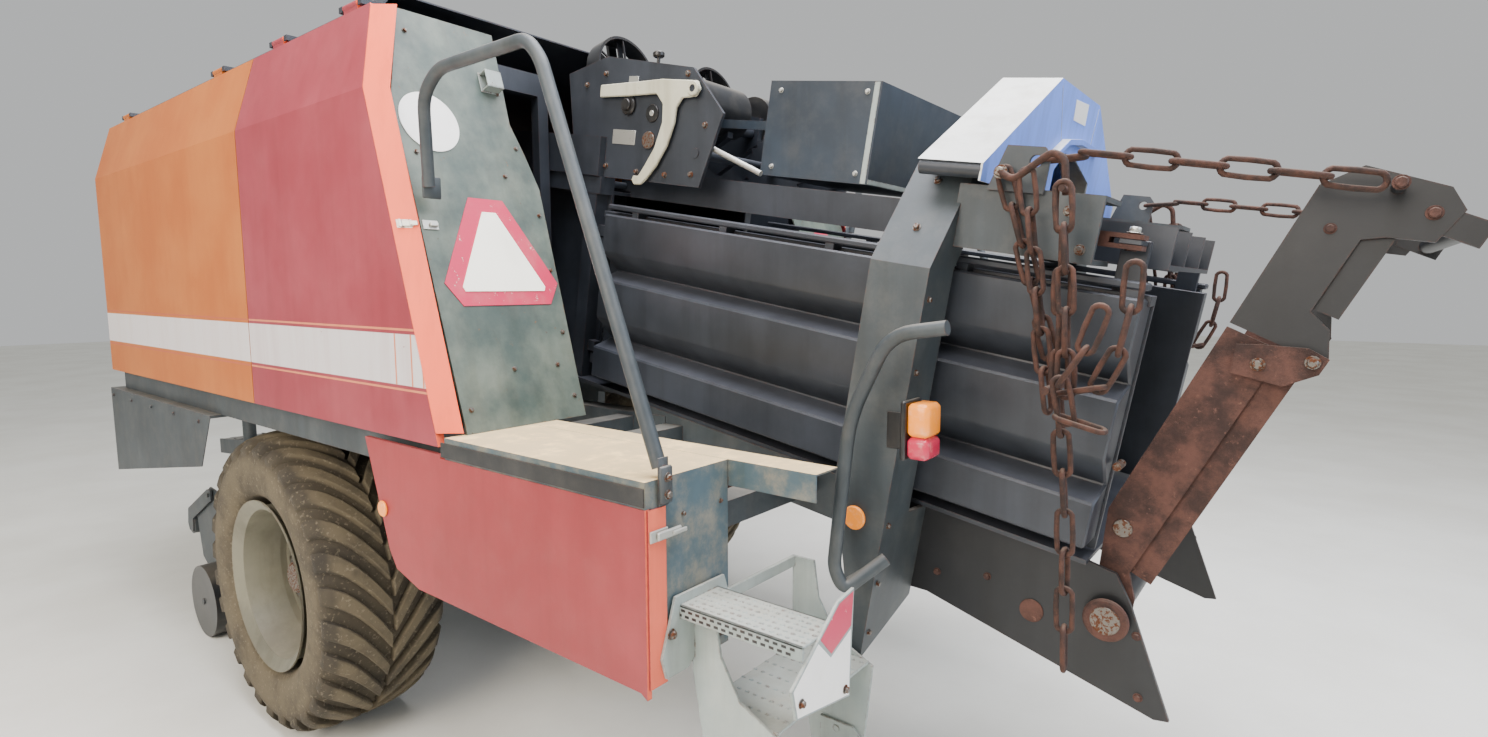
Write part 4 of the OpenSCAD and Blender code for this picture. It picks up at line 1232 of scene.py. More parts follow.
@dataclass
class Chains:
    """Welded round-steel chains that hold the chute, with their slack ends hung on a pin.

    The strands' points are given one by one, y outwards from the machine's middle.

    Args:
        length: Outer length of a link.
        width: Outer width of a link.
        wire: Thickness of its wire.
        lug: Hole of the arch's lug in the chamber's frame, that the taut chain starts from.
        taut_y: The taut chain from the machine's middle at the arch.
        hook: The taut chain's end at the chute's head.
        taut_links: Links between the arch and the hook, past the first.
        pin: The hanging pin in the chamber's frame: along it and off its floor.
        pin_y: Where the first strand hangs on the pin.
        sway: Most that a slack link turns about its length, in degrees.
    """

    length: float = 112
    width: float = 46
    wire: float = 12
    lug: tuple[float, float] = (270, 900)
    taut_y: float = 597
    hook: Point = (-3459.9, 474, 2034)
    taut_links: int = 6
    pin: tuple[float, float] = (330, 868)
    pin_y: float = 618
    sway: float = 11

    @property
    def pitch(self) -> float:
        """Distance from link to link."""
        return self.length - 2 * self.wire - 0.3

    def strands(self, side: Side) -> list[list[Point]]:
        """The slack strands' courses, the one from the pin first, the last only on the left.

        Args:
            side: The side of the machine.

        Returns:
            Corners of each strand, in millimetres from the axle, y outwards.
        """
        pin = CHAMBER.at(self.pin[0], 0, self.pin[1])
        strands = [
            [((pin.x - AXLE_X) / MM, self.pin_y, pin.z / MM), (-2900, 618, 1640), (-2912, 618, 1560)],
            [(-2914, 666, 2052), (-2917, 666, 1900), (-2920, 666, 1620), (-2945, 666, 1330),
             (-2957, 666, 960)],
            [(-2828, 652, 2094), (-2860, 652, 1837), (-2896, 650, 1560)],
            [(-2920, 702, 2054), (-2937, 702, 1816), (-2944, 700, 1590)],
            [(-3066, 714, 1886), (-3060, 714, 1770), (-3030, 714, 1660), (-2972, 712, 1600),
             (-2915, 690, 1640)],
        ]
        if side is Side.LEFT:
            strands.append([(-3020, 762, 1800), (-2985, 760, 1700), (-2930, 740, 1630),
                            (-2975, 738, 1530), (-3012, 738, 1560)])
        return strands

    def build(self, finishes: Finishes) -> None:
        """Models every link in the place of the CAD chains' flat ones."""
        for side in Side:
            self.taut(side, finishes["rusty_chain"])
            self.hanging(side, finishes["rusty_chain"])

    def taut(self, side: Side, finish: bpy.types.Material) -> None:
        """The chain from the arch's lug to the chute's head.

        Args:
            side: The side of the machine.
            finish: The chain's steel.
        """
        lug = CHAMBER.at(self.lug[0], 0, self.lug[1])
        x, y, z = self.hook
        hook = at(x, side.value * y, z)
        first = Vector((lug.x - (self.length / 2 - 1) * MM, side.value * self.taut_y * MM, lug.z))
        start = first - Vector((self.pitch * MM, 0, 0))
        way = (hook - start).normalized()
        links = [self.link(first, AHEAD, 90)]
        links += [self.link(start + way * step * self.pitch * MM, way, 0 if step % 2 else 90)
                  for step in range(self.taut_links)]
        self.stand_in(links, "taut_chain_" + side.word, finish)

    def hanging(self, side: Side, finish: bpy.types.Material) -> None:
        """The slack strands with the hook bar and the rods that they hang on.

        Args:
            side: The side of the machine.
            finish: The chain's steel.
        """
        s = side.value
        links = []
        for number, strand in enumerate(self.strands(side)):
            path = [at(x, s * y, z) for x, y, z in strand]
            links += self.strand(path, 8 if number == 0 else 0)
        pin = CHAMBER.at(self.pin[0], 0, self.pin[1])
        reach = 742 if side is Side.LEFT else 700
        links.append(tube([at(-2910, s * 606, 1626), at(-2912, s * reach, 1626)], 9))
        links.append(tube([Vector((pin.x, s * 648 * MM, pin.z)), at(-2800, s * 652, 2078),
                           at(-2884, s * 660, 2130), at(-2912, s * 664, 2112), at(-2918, s * 668, 2036)],
                          8, 22))
        links.append(tube([at(-2917, s * 660, 2046), at(-2919, s * 708, 2046)], 7))
        self.stand_in(links, "hanging_chain_" + side.word, finish)

    def stand_in(self, links: list[bpy.types.Object], node: str, finish: bpy.types.Material) -> None:
        """Joins a chain's links and puts them in the CAD chain's place."""
        piece = assemble(links, node + "_links", finish, node, 60)
        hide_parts(node)

    def link(self, centre: Vector, way: Vector, roll: float) -> bpy.types.Object:
        """One link: two bends joined by straight wires.

        Args:
            centre: Its middle.
            way: Direction of its length.
            roll: Turn about its length, in degrees; at 0 its pin would lie across the machine.

        Returns:
            The link.
        """
        start_clean()
        bpy.ops.mesh.primitive_torus_add(
            major_segments=16, minor_segments=8, major_radius=(self.width - self.wire) / 2 * MM,
            minor_radius=self.wire / 2 * MM)
        link = bpy.context.object
        draw = (self.length - self.width) / 2 * MM
        for vertex in link.data.vertices:
            vertex.co.x += math.copysign(draw, vertex.co.x) if abs(vertex.co.x) > 1e-6 else 0
        flat = (Vector((0, 1, 0)) - way * way.y).normalized()
        turn = Matrix((way, flat.cross(way), flat)).transposed().to_4x4()
        turn = turn @ Matrix.Rotation(math.radians(roll), 4, "X")
        link.data.transform(Matrix.Translation(centre) @ turn)
        return link

    def strand(self, path: list[Vector], lead_mm: float) -> list[bpy.types.Object]:
        """Links end to end along a path of straight runs.

        Args:
            path: Its corners.
            lead_mm: How far the first link's bend reaches back over the path's start.

        Returns:
            The links, each turned a quarter from the one before, give or take.
        """
        runs = [b - a for a, b in zip(path, path[1:])]
        total = sum(run.length for run in runs)
        knots = []
        reach = -lead_mm * MM
        while reach < total:
            left, place = max(reach, 0), path[0]
            for start, run in zip(path, runs):
                if left <= run.length:
                    place = start + run.normalized() * left
                    break
                left -= run.length
                place = start + run
            knots.append(place + runs[0].normalized() * min(reach, 0))
            reach += self.pitch * MM
        made = []
        for step, (a, b) in enumerate(zip(knots, knots[1:])):
            roll = (90 if step % 2 else 0) + (random.uniform(-self.sway, self.sway) if step else 0)
            made.append(self.link((a + b) / 2, (b - a).normalized(), roll))
        return made


@dataclass
class Handrails:
    """The tall bow beside the steps, the lower grab rail and their feet.

    Args:
        radius: Radius of the tube.
        reach: Distance of the bow from the machine's middle.
        grab: Distance of the grab rail from the machine's middle.
    """

    radius: float = 17
    reach: float = 1215
    grab: float = 800

    def build(self, finishes: Finishes) -> None:
        """Models the rails in smooth bends over both sides.

        Args:
            finishes: The machine's finishes, by name.
        """
        parts, bolts = [], []
        for side in Side:
            s, space = side.value, side.mirror(GROUND)
            bow = [(-1325, 1190, 2130), (-1360, self.reach, 2370), (-1440, self.reach, 2430),
                   (-1830, self.reach, 2430), (-1880, self.reach, 2380), (-2250, self.reach, 1456)]
            grab = [(-2540, 716, 1170), (-2470, self.grab, 1100), (-2440, self.grab, 1150),
                    (-2480, self.grab, 1530), (-2580, self.grab, 1735), (-2720, self.grab, 1755)]
            for course, bend in ((bow, 55), (grab, 70)):
                parts.append(tube([at(x, s * y, z) for x, y, z in course], self.radius, bend))
            parts.append(tube([at(-2468, s * 700.5, 1112), at(-2468, s * self.grab, 1112)], 12))
            parts += [block((-2262, 1199, 1372.3), (-2258.3, 1231, 1480), space),
                      block((-2274, 1196, 1380), (-2262, 1234, 1462), space, 5),
                      block((-1322, 1150, 2098), (-1312, 1206, 2160), space, 3)]
            bolts += [bolt(at(-2274, s * self.reach, z), REARWARDS, 15) for z in (1400, 1438)]
        rails = assemble(parts, "hand_rails", finishes["grey_frame_enamel"], "machine", 50)
        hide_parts("handrails")
        assemble(bolts, "rail_bolts", finishes["old_bolt"], "machine")


@dataclass
class RearPanels:
    """Raked panels beside the knotters, with their marks, brackets and latches.

    Args:
        rake: Lean of the panels from upright, in degrees.
        foot: Their lower edge behind the axle.
        deck: Height of that edge.
        gauge: Thickness of the sheet.
        triangle: Place of the warning triangle's lower edge: y and z.
        round_disc: Place of the round disc's middle: y and z.
        bolt_places: The sheet's bolts: z and y.
    """

    rake: float = 18.5
    foot: float = -1498
    deck: float = 1434.3
    gauge: float = 8
    triangle: tuple[float, float] = (975, 1790)
    round_disc: tuple[float, float] = (1105, 2340)
    bolt_places: tuple[tuple[float, float], ...] = (
        (1500, 812), (1700, 800), (1900, 790), (2080, 782), (2300, 812), (2480, 836), (2640, 840),
        (1500, 1180), (1600, 1010), (1600, 850), (2200, 880), (2240, 1170), (2620, 1120))

    def lean(self, z: float) -> float:
        """The panel's x at a height."""
        return self.foot + math.tan(math.radians(self.rake)) * (z - self.deck)

    def plane(self, z: float, y: float, proud: float = 0) -> Matrix:
        """A place on the panel's rear face: x up the panel, y to the left, z off to the rear."""
        turn = Matrix.Rotation(math.radians(self.rake), 4, "Y") @ Matrix.Rotation(-math.pi / 2, 4, "Y")
        return Matrix.Translation(at(self.lean(z), y, z)) @ turn @ Matrix.Translation((0, 0, proud * MM))

    def build(self, finishes: Finishes) -> None:
        """Models panels, marks and fittings on both sides.

        Args:
            finishes: The machine's finishes, by name.
        """
        outline = [(785, self.deck), (755, 2170), (782, 2282), (813, 2382), (800, 2690), (1128, 2690),
                   (1208, 2410), (1208, self.deck)]
        sheets = []
        for side in Side:
            sheet = cross_plate(outline, 0, self.gauge, side.mirror(GROUND), 0)
            for vertex in sheet.data.vertices:
                vertex.co.x += self.lean(vertex.co.z / MM) * MM
            sheets.append(sheet)
        panels = assemble(sheets, "raked_panels", finishes["rear_panel_enamel"], "machine",
                          None)
        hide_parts("rear_panels")
        for side in Side:
            self.marks(side, finishes)
            self.fittings(side, finishes)

    def marks(self, side: Side, finishes: Finishes) -> None:
        """The warning triangle and the plain round disc of one side.

        Args:
            side: The side of the machine.
            finishes: The machine's finishes, by name.
        """
        s = side.value
        spot = self.plane(self.triangle[1], s * self.triangle[0], 0.4)
        rim = self.mark([(-155, 0), (-200, 70), (-60, 345), (60, 345), (200, 70), (155, 0)])
        rim.data.transform(spot)
        settle(rim, "triangle_rim_" + side.word, finishes["crimson_film"], "machine", None)
        face = self.mark([(-140, 44), (-146, 58), (-24, 300), (24, 300), (146, 58), (140, 44)])
        face.data.transform(spot @ Matrix.Translation((0, 0, 2.6 * MM)))
        settle(face, "triangle_face_" + side.word, finishes["cream_film"], "machine", None)
        if side is Side.LEFT:
            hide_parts("signs")
        round_mark = disc(Vector(), UP, 95, 2.4, 64)
        round_mark.data.transform(self.plane(self.round_disc[1], s * self.round_disc[0], 0.5))
        settle(round_mark, "round_disc_" + side.word, finishes["white_film"], "machine", 30)

    def mark(self, outline: Outline) -> bpy.types.Object:
        """A sheet plate for a mark, its outline given across and up the panel."""
        return outlined([(up, across) for across, up in outline], 0, 2, Matrix.Identity(4), 0)

    def fittings(self, side: Side, finishes: Finishes) -> None:
        """Bracket box, edge bolts and latch keeper of one side.

        Args:
            side: The side of the machine.
            finishes: The machine's finishes, by name.
        """
        s = side.value
        box = self.plane(2508, s * 860)
        holder = [block((-34, -34, 0), (34, 34, 4), box), block((-30, -30, 4), (-24, 30, 38), box),
                  block((24, -30, 4), (30, 30, 38), box), block((-30, -30, 34), (30, 30, 38), box)]
        assemble(holder, "panel_bracket_" + side.word, finishes["pale_step_enamel"], "machine")
        bolts = []
        for z, y in self.bolt_places:
            spot = self.plane(z, s * y)
            bolts.append(bolt(spot.translation, spot.to_3x3() @ UP, 11))
        assemble(bolts, "panel_bolts_" + side.word, finishes["old_bolt"], "machine")
        rest = self.plane(2024, s * 1178)
        keeper = [block((-14, -24, 0), (14, 24, 3), rest), block((-6, -20, 3), (6, 4, 12), rest)]
        assemble(keeper, "latch_keeper_" + side.word, finishes["zinc_plate"], "machine")


@dataclass
class DoorReturns:
    """Return flanges along the rear doors' raked edges, with the toggle latches on them.

    Args:
        foot: Lower corner of the flange: x, y, z.
        fold: Its corner at the door's fold.
        head: Its upper corner.
        inwards: Reach of the flange to the rear and to the middle.
        gauge: Thickness of the sheet.
        latch_place: Middle of the latch's base on the flange.
    """

    foot: Point = (-1438.6, 1269, 1441)
    fold: Point = (-1130, 1269, 2420)
    head: Point = (-1045, 1190, 2690)
    inwards: tuple[float, float] = (-60, -50)
    gauge: float = 4
    latch_place: Point = (-1282, 1242, 2024)

    def build(self, finishes: Finishes) -> None:
        """Models both flanges as folded sheet."""
        rows = [self.foot, self.fold, self.head]
        for side in Side:
            start_clean()
            bpy.ops.mesh.primitive_grid_add(x_subdivisions=1, y_subdivisions=2, size=2)
            sheet = bpy.context.object
            for number, vertex in enumerate(sheet.data.vertices):
                x, y, z = rows[number // 2]
                if number % 2:
                    x, y = x + self.inwards[0], y + self.inwards[1]
                vertex.co = at(x, side.value * y, z)
            pick(sheet)
            wall = sheet.modifiers.new("gauge", "SOLIDIFY")
            wall.thickness, wall.offset = self.gauge * MM, 0
            bpy.ops.object.modifier_apply(modifier=wall.name)
            body = "panel_rear_" + side.word
            settle(soften(sheet, 1.2, 1), "door_return_" + side.word, finishes["red_door_enamel"], body,
                   20)
            self.latch(side, finishes)

    def latch(self, side: Side, finishes: Finishes) -> None:
        """A toggle latch on the flange: base, lever and wire bow.

        Args:
            side: The side of the machine.
            finishes: The machine's finishes, by name.
        """
        s = side.value
        along = Vector((self.inwards[0], self.inwards[1] * s, 0)).normalized()
        up = Vector((0.3, 0, 0.954)).normalized()
        out = along.cross(up).normalized()
        out = out if out.x < 0 else -out
        x, y, z = self.latch_place
        seat = at(x, s * y, z) + out * 3.2 * MM
        space = Matrix.Translation(seat) @ Matrix((along, up, out)).transposed().to_4x4()
        parts = [block((-24, -13, 0), (20, 13, 3), space), block((-20, -9, 3), (26, 9, 8), space),
                 block((16, -7, 7), (38, 7, 11), space, 1.8), block((-14, -12, 3), (-6, 12, 12), space)]
        body = "panel_rear_" + side.word
        assemble(parts, "door_latch_" + side.word, finishes["zinc_plate"], body)


@dataclass
class SkirtFittings:
    """Latches between skirts and deck boxes, the decks' dark rims and the boxes' bolts.

    Args:
        box_rear: Rear face of the deck boxes behind the axle.
        deck_side: The decks' outer face from the machine's middle.
    """

    box_rear: float = -2258
    deck_side: float = 1268

    def build(self, finishes: Finishes) -> None:
        """Models both sides.

        Args:
            finishes: The machine's finishes, by name.
        """
        latches, bolts, rims = [], [], []
        for side in Side:
            space = side.mirror(GROUND)
            latches += [block((-2268, 1208, 1300), (-2262.5, 1262, 1326), space),
                        block((-2276, 1172, 1303), (-2268, 1246, 1322), space, 3),
                        block((-2281, 1160, 1307), (-2275, 1204, 1317), space, 2)]
            bolts += [bolt(at(self.box_rear, side.value * y, z), REARWARDS, 9)
                      for y, z in ((1020, 1340), (1020, 1010), (1150, 1340))]
            rims.append(block((self.box_rear + 2, self.deck_side - 0.5, 1378),
                              (-1462, self.deck_side + 3, 1420), space))
        assemble(rims, "deck_rims", finishes["black_enamel"], "machine")
        assemble(latches, "skirt_latches", finishes["zinc_plate"], "machine")
        assemble(bolts, "deck_box_bolts", finishes["old_bolt"], "machine")


@dataclass
class DensityWalls:
    """Hinged chamber walls with their three deep pressed ribs and top rail.

    Args:
        length: Along the chamber.
        height: Off its floor.
        inner: Inner face from the middle.
        out: Crest of the ribs.
        groove: Bottom of the grooves.
        rail_end: How far ribs and rail end before the wall does.
        post_pitch: Distance from post to post below the rail.
    """

    length: float = 1840
    height: float = 640
    inner: float = 400
    out: float = 519
    groove: float = 432
    rail_end: float = 70
    post_pitch: int = 400

    def build(self, finishes: Finishes) -> None:
        """Models both walls in the place of the CAD's.

        Args:
            finishes: The machine's finishes, by name.
        """
        skin, end = self.inner + 11, self.length - self.rail_end
        ribs = [(skin, 37), (self.out, 37), (self.out, 150), (self.groove, 180), (self.out, 260),
                (self.out, 400), (self.groove, 430), (self.out, 500), (self.out, 632), (skin, 632)]
        for side in Side:
            space = side.mirror(CHAMBER.matrix())
            parts = [block((0, self.inner, 8), (self.length, self.inner + 12, self.height), space),
                     cross_plate(ribs, 6, end, space, 5),
                     block((0, skin, self.height - 24), (self.length - 1, 460, self.height), space),
                     block((6, 450, self.height + 10), (end, 505, self.height + 28), space, 4)]
            for x in range(20, int(end), self.post_pitch):
                parts.append(block((x, 451, self.height - 9), (x + 30, 500, self.height + 11), space))
            for z in (60, 500):
                parts += [block((self.length - 60, skin, z), (self.length - 2, 446, z + 40), space),
                          block((self.length - 10, 418, z + 0.5), (self.length + 28, 445, z + 39.5), space)]
            parts += [block((30, 420, self.height - 10), (90, 445, 759), space),
                      block((36, 422, 746), (84, 512, 758), space)]
            node = "wall_" + side.word
            wall = assemble(parts, "ribbed_" + node, finishes["charcoal_enamel"], node, 30)
            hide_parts(node)


@dataclass
class Ladder:
    """Upper step between its bent side plates, with the hangers that carry the folding step.

    Args:
        near: Plate on the deck box, behind the axle.
        far: Plate at the step's outer end.
        plate: Thickness of the plates.
        tread: Height of the upper step.
        low_tread: Height of the lower one.
        tread_y: Edges of the upper step from the machine's middle.
    """

    near: float = -2270
    far: float = -2604
    plate: float = 8
    tread: float = 1140
    low_tread: float = 895
    tread_y: tuple[float, float] = (1042, 1177)

    def build(self, finishes: Finishes) -> None:
        """Models steps, plates, marks and bolts.

        Args:
            finishes: The machine's finishes, by name.
        """
        parts = self.plates() + self.treads()
        for y in (711, 1110):
            parts.append(tube([at(-2410, y, 680), at(-2410, y + 19, 680)], 9))
        parts += self.studs(at(-2590, 1060, self.tread - 2), (16, 6), (20, 20))
        parts += self.studs(at(-2488, 740, self.low_tread - 2), (9, 8), (24, 48))
        steps = assemble(parts, "ladder_steps", finishes["pale_step_enamel"], "machine", 30)
        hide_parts("ladder")
        self.marks(finishes)
        self.slots(finishes)
        bolts = [bolt(at(self.near - 0.3, y, z), REARWARDS, 18) for y, z in ((1205, 1080), (1060, 1095))]
        bolts += [bolt(at(self.far - 0.3, y, z), REARWARDS, 14) for y, z in ((1190, 1030), (1020, 985))]
        assemble(bolts, "ladder_bolts", finishes["old_bolt"], "machine")

    def plates(self) -> list[bpy.types.Object]:
        """The two bent plates and their arm to the deck box.

        Returns:
            The three plates.
        """
        inner = [(1020, 1160), (1190, 1160), (1235, 1030), (1220, 980), (1150, 980), (1000, 1100)]
        outer = [(985, 1200), (1050, 1190), (1145, 1120), (1222, 1066), (1205, 1000), (1000, 960)]
        return [cross_plate(inner, self.near, self.near + self.plate),
                cross_plate(outer, self.far, self.far + self.plate),
                block((self.near + 7, 1040, 1080), (-2258.3, 1180, 1150))]

    def treads(self) -> list[bpy.types.Object]:
        """Upper step with its turned edges, lower step and the hangers beside it.

        Returns:
            Plates of the steps and hangers.
        """
        inner, outer = self.tread_y
        x0, x1, top = self.far + 6, self.near + 2, self.tread - 2
        hanger = [(-2262, 1119), (-2262, 960), (-2300, 760), (-2330, 600), (-2480, 600), (-2510, 880),
                  (-2400, 930), (-2345, 1020), (-2330, 1119)]
        return [block((x0, inner, top - 6), (x1, outer, top)),
                block((x0, outer - 6, top - 32), (x1, outer, top)),
                block((x0, inner, top - 32), (x1, inner + 6, top)),
                block((-2500, 719, self.low_tread - 10), (-2290, 1121, self.low_tread - 2)),
                block((-2270, 713, 1090), (-2258.3, 1127, 1119)),
                side_plate(hanger, 712, 720), side_plate(hanger, 1120, 1128)]

    def studs(self, corner: Vector, count: tuple[int, int], pitch: tuple[float, float]
              ) -> list[bpy.types.Object]:
        """Pressed oval studs that give grip.

        Args:
            corner: The first stud's place.
            count: Studs along the machine, and rows across it.
            pitch: Their distances.

        Returns:
            The studs.
        """
        studs = []
        for row in range(count[1]):
            for step in range(count[0]):
                start_clean()
                bpy.ops.mesh.primitive_cone_add(vertices=6, radius1=5.5 * MM, radius2=3 * MM, depth=3 * MM)
                place = corner + Vector((step * pitch[0], row * pitch[1], 1.4)) * MM
                stud = bpy.context.object
                stud.data.transform(Matrix.Translation(place) @ Matrix.Diagonal((1.3, 0.8, 1, 1)))
                studs.append(stud)
        return studs

    def marks(self, finishes: Finishes) -> None:
        """Red and white film on the outer plate's rear face.

        Args:
            finishes: The machine's finishes, by name.
        """
        face = self.far - 0.6
        red = [(990, 1194), (1047, 1185), (1120, 1133), (1078, 1088), (998, 1120)]
        white = [(999, 1112), (1080, 1080), (1128, 1128), (1216, 1064), (1201, 1004), (1004, 966)]
        for word, finish, outline in (("red", "crimson_film", red), ("white", "white_film", white)):
            film = cross_plate(outline, face, face + 0.5, GROUND, 0)
            settle(film, "ladder_mark_" + word, finishes[finish], "machine", None)

    def slots(self, finishes: Finishes) -> None:
        """Two rows of slots in the upper step's outer edge, drawn as thin black plates: painted shade of the
        openings.

        Args:
            finishes: The machine's finishes, by name.
        """
        slots, outer = [], self.tread_y[1]
        for row in range(2):
            top = self.tread - 10 - row * 12
            for step in range(15):
                x = self.far + 24 + step * 21 + row * 10
                # Black plates stand in for the shade inside the slots.
                slots.append(block((x, outer, top - 6), (x + 12, outer + 1.2, top), GROUND, 1))
        assemble(slots, "tread_slots", finishes["black_enamel"], "machine")


@dataclass
class TripArm:
    """Hooked arm at the knotter plate that starts the knotters, cast and painted cream.

    Args:
        pivot: Its pivot in the chamber's frame.
        inner: Its inner face from the middle.
        thick: Its thickness.
    """

    pivot: tuple[float, float] = (1450, 1070)
    inner: float = 460
    thick: float = 12

    def build(self, finishes: Finishes) -> None:
        """Models the arm with the hub on it.

        Args:
            finishes: The machine's finishes, by name.
        """
        hook = [(1905, 1078), (1700, 1092), (1600, 1100), (1520, 1098), (1440, 1096), (1424, 1070),
                (1440, 1046), (1500, 1040), (1522, 1010), (1524, 960), (1548, 885), (1590, 815),
                (1630, 770), (1655, 748), (1688, 745), (1702, 760), (1696, 776), (1672, 776),
                (1644, 815), (1606, 875), (1580, 960), (1586, 1020), (1620, 1052), (1760, 1042),
                (1905, 1036)]
        along, off = self.pivot
        hub = disc(CHAMBER.at(along, self.inner + self.thick - 1, off), Side.LEFT.out, 24, 9)
        arm = [side_plate(hook, self.inner, self.inner + self.thick, CHAMBER.matrix(), 3), hub]
        piece = assemble(arm, "hooked_arm", finishes["cream_arm_enamel"], "trip_arm", 30)
        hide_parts("trip_arm")


@dataclass
class KnotterDress:
    """Hubs, discs, plain plates and rods on the knotters' side plates and behind them.

    Args:
        face: Outer face of the side plates from the middle.
        box_side: Side of the control box from the middle.
    """

    face: float = 452
    box_side: float = 300

    def build(self, finishes: Finishes) -> None:
        """Models what shows beside and over the knotters, and on the control box.

        Args:
            finishes: The machine's finishes, by name.
        """
        space, out, seat = CHAMBER.matrix(), Side.LEFT.out, self.face - 0.5
        dark = [disc(CHAMBER.at(1765, seat, 1014), out, 34, 14),
                disc(CHAMBER.at(1765, 465, 1014), out, 20, 9),
                disc(CHAMBER.at(1647, seat, 990), out, 30, 6)]
        for side in Side:
            dark.append(tube([CHAMBER.at(1620, side.value * y, 1050) for y in (60, 300)], 92, 1, 14))
        dark += [block((1650, -380, 1120), (1700, 380, 1128), space),
                 tube([CHAMBER.at(1650, 446, 1130), CHAMBER.at(1650, 446, 1176)], 6),
                 disc(CHAMBER.at(1650, 446, 1174), UP, 20, 18)]
        assemble(dark, "knotter_drums", finishes["black_enamel"], "machine", 40)
        pale = [block((1722, seat, 880), (1838, self.face + 1.4, 930), space),
                block((1732, seat, 1062), (1780, self.face + 1.2, 1112), space),
                tube([CHAMBER.at(1533, 428, 938), CHAMBER.at(1167, 428, 826)], 9),
                disc(CHAMBER.at(1647, self.face + 3, 990), out, 10, 4)]
        assemble(pale, "knotter_plates", finishes["zinc_plate"], "machine", 40)
        places = ((1440, 800), (1560, 790), (1700, 790), (1860, 800), (1400, 960), (1900, 1120),
                  (1500, 1120), (2000, 1080))
        rust = [disc(CHAMBER.at(1652, seat, 900), out, 30, 8)]
        rust += [bolt(CHAMBER.at(x, self.face, z), out, 15) for x, z in places]
        assemble(rust, "knotter_bolts", finishes["old_bolt"], "machine")
        self.control_box(space, finishes)

    def control_box(self, space: Matrix, finishes: Finishes) -> None:
        """Pale strips along the control box's rear edges, and its bolts.

        Args:
            space: The chamber's frame.
            finishes: The machine's finishes, by name.
        """
        edge = [(866, 832), (884, 832), (884, 1128), (866, 1128)]
        strips = [side_plate(edge, s * self.box_side, s * (self.box_side + 1.4), space, 0) for s in (1, -1)]
        strips.append(block((858.6, -298, 832), (860, 298, 846), space, 0.4))
        assemble(strips, "box_edge_strips", finishes["pale_step_enamel"], "machine")
        caps = [bolt(CHAMBER.at(x, side.value * self.box_side, z), side.out, 12)
                for side in Side for x in (905, 1225) for z in (860, 1100)]
        assemble(caps, "box_bolts", finishes["zinc_plate"], "machine")


@dataclass
class ArchDress:
    """Bolts on the portal arch, and the flap, blank plate, seams and lips of its cover.

    Args:
        rear: The arch's rear face in the chamber's frame.
        cover_rear: The cover's rear face there.
        shoulder: Outward and upward parts of the sloped shoulder's normal.
    """

    rear: float = 430
    cover_rear: float = 376
    shoulder: tuple[float, float] = (0.828, 0.561)

    def build(self, finishes: Finishes) -> None:
        """Models what sits on arch and cover.

        Args:
            finishes: The machine's finishes, by name.
        """
        bolts = [spot for side in Side for spot in self.bolts(side)]
        assemble(bolts, "arch_bolts", finishes["old_bolt"], "machine")
        space, face = CHAMBER.matrix(), self.cover_rear + 0.2
        pent = [(176, 962), (176, 976), (99, 1017), (-19, 1034), (-258, 1029), (-262, 1014), (-20, 1018),
                (96, 1002)]
        flap = [cross_plate(pent, self.cover_rear - 24, self.cover_rear + 0.5, space)]
        for y0, z0, y1, z1 in ((188, 1142, 110, 1012), (-196, 1150, -186, 1036)):
            seam = [(y0 - 2, z0), (y0 + 2, z0), (y1 + 2, z1), (y1 - 2, z1)]
            flap.append(cross_plate(seam, face - 1.6, face, space, 0))
        assemble(flap, "cover_flap", finishes["pale_cover_enamel"], "machine")
        sign = cross_plate([(47, 1133), (-79, 1141), (-83, 1081), (37, 1078)], face - 1.8, face, space, 0.5)
        settle(sign, "cover_blank_plate", finishes["white_film"], "machine")
        lips = [tube([CHAMBER.at(x, s * 617, 870) for x in (380, 536)], 19) for s in (1, -1)]
        assemble(lips, "cover_lips", finishes["charcoal_enamel"], "machine", 60)

    def bolts(self, side: Side) -> list[bpy.types.Object]:
        """The arch's bolts on one side: shoulder, rear face, pin and lug plate.

        Args:
            side: The side of the machine.

        Returns:
            The bolts.
        """
        s, (outwards, upwards) = side.value, self.shoulder
        slope, back = CHAMBER.way(0, outwards * s, upwards), CHAMBER.way(-1, 0, 0)
        made = [bolt(CHAMBER.at(x, s * y, z), slope, 15) for x, y, z in ((513, 559, 842), (509, 640, 723))]
        made += [bolt(CHAMBER.at(self.rear, s * 676, z), back, 12) for z in (560, 380, 180, -20, -180, -320)]
        made.append(bolt(CHAMBER.at(330, s * 642, 868), side.out, 22))
        made += [bolt(CHAMBER.at(x, s * 592, z), side.out, 17) for x, z in ((140, 720), (180, 800))]
        return made


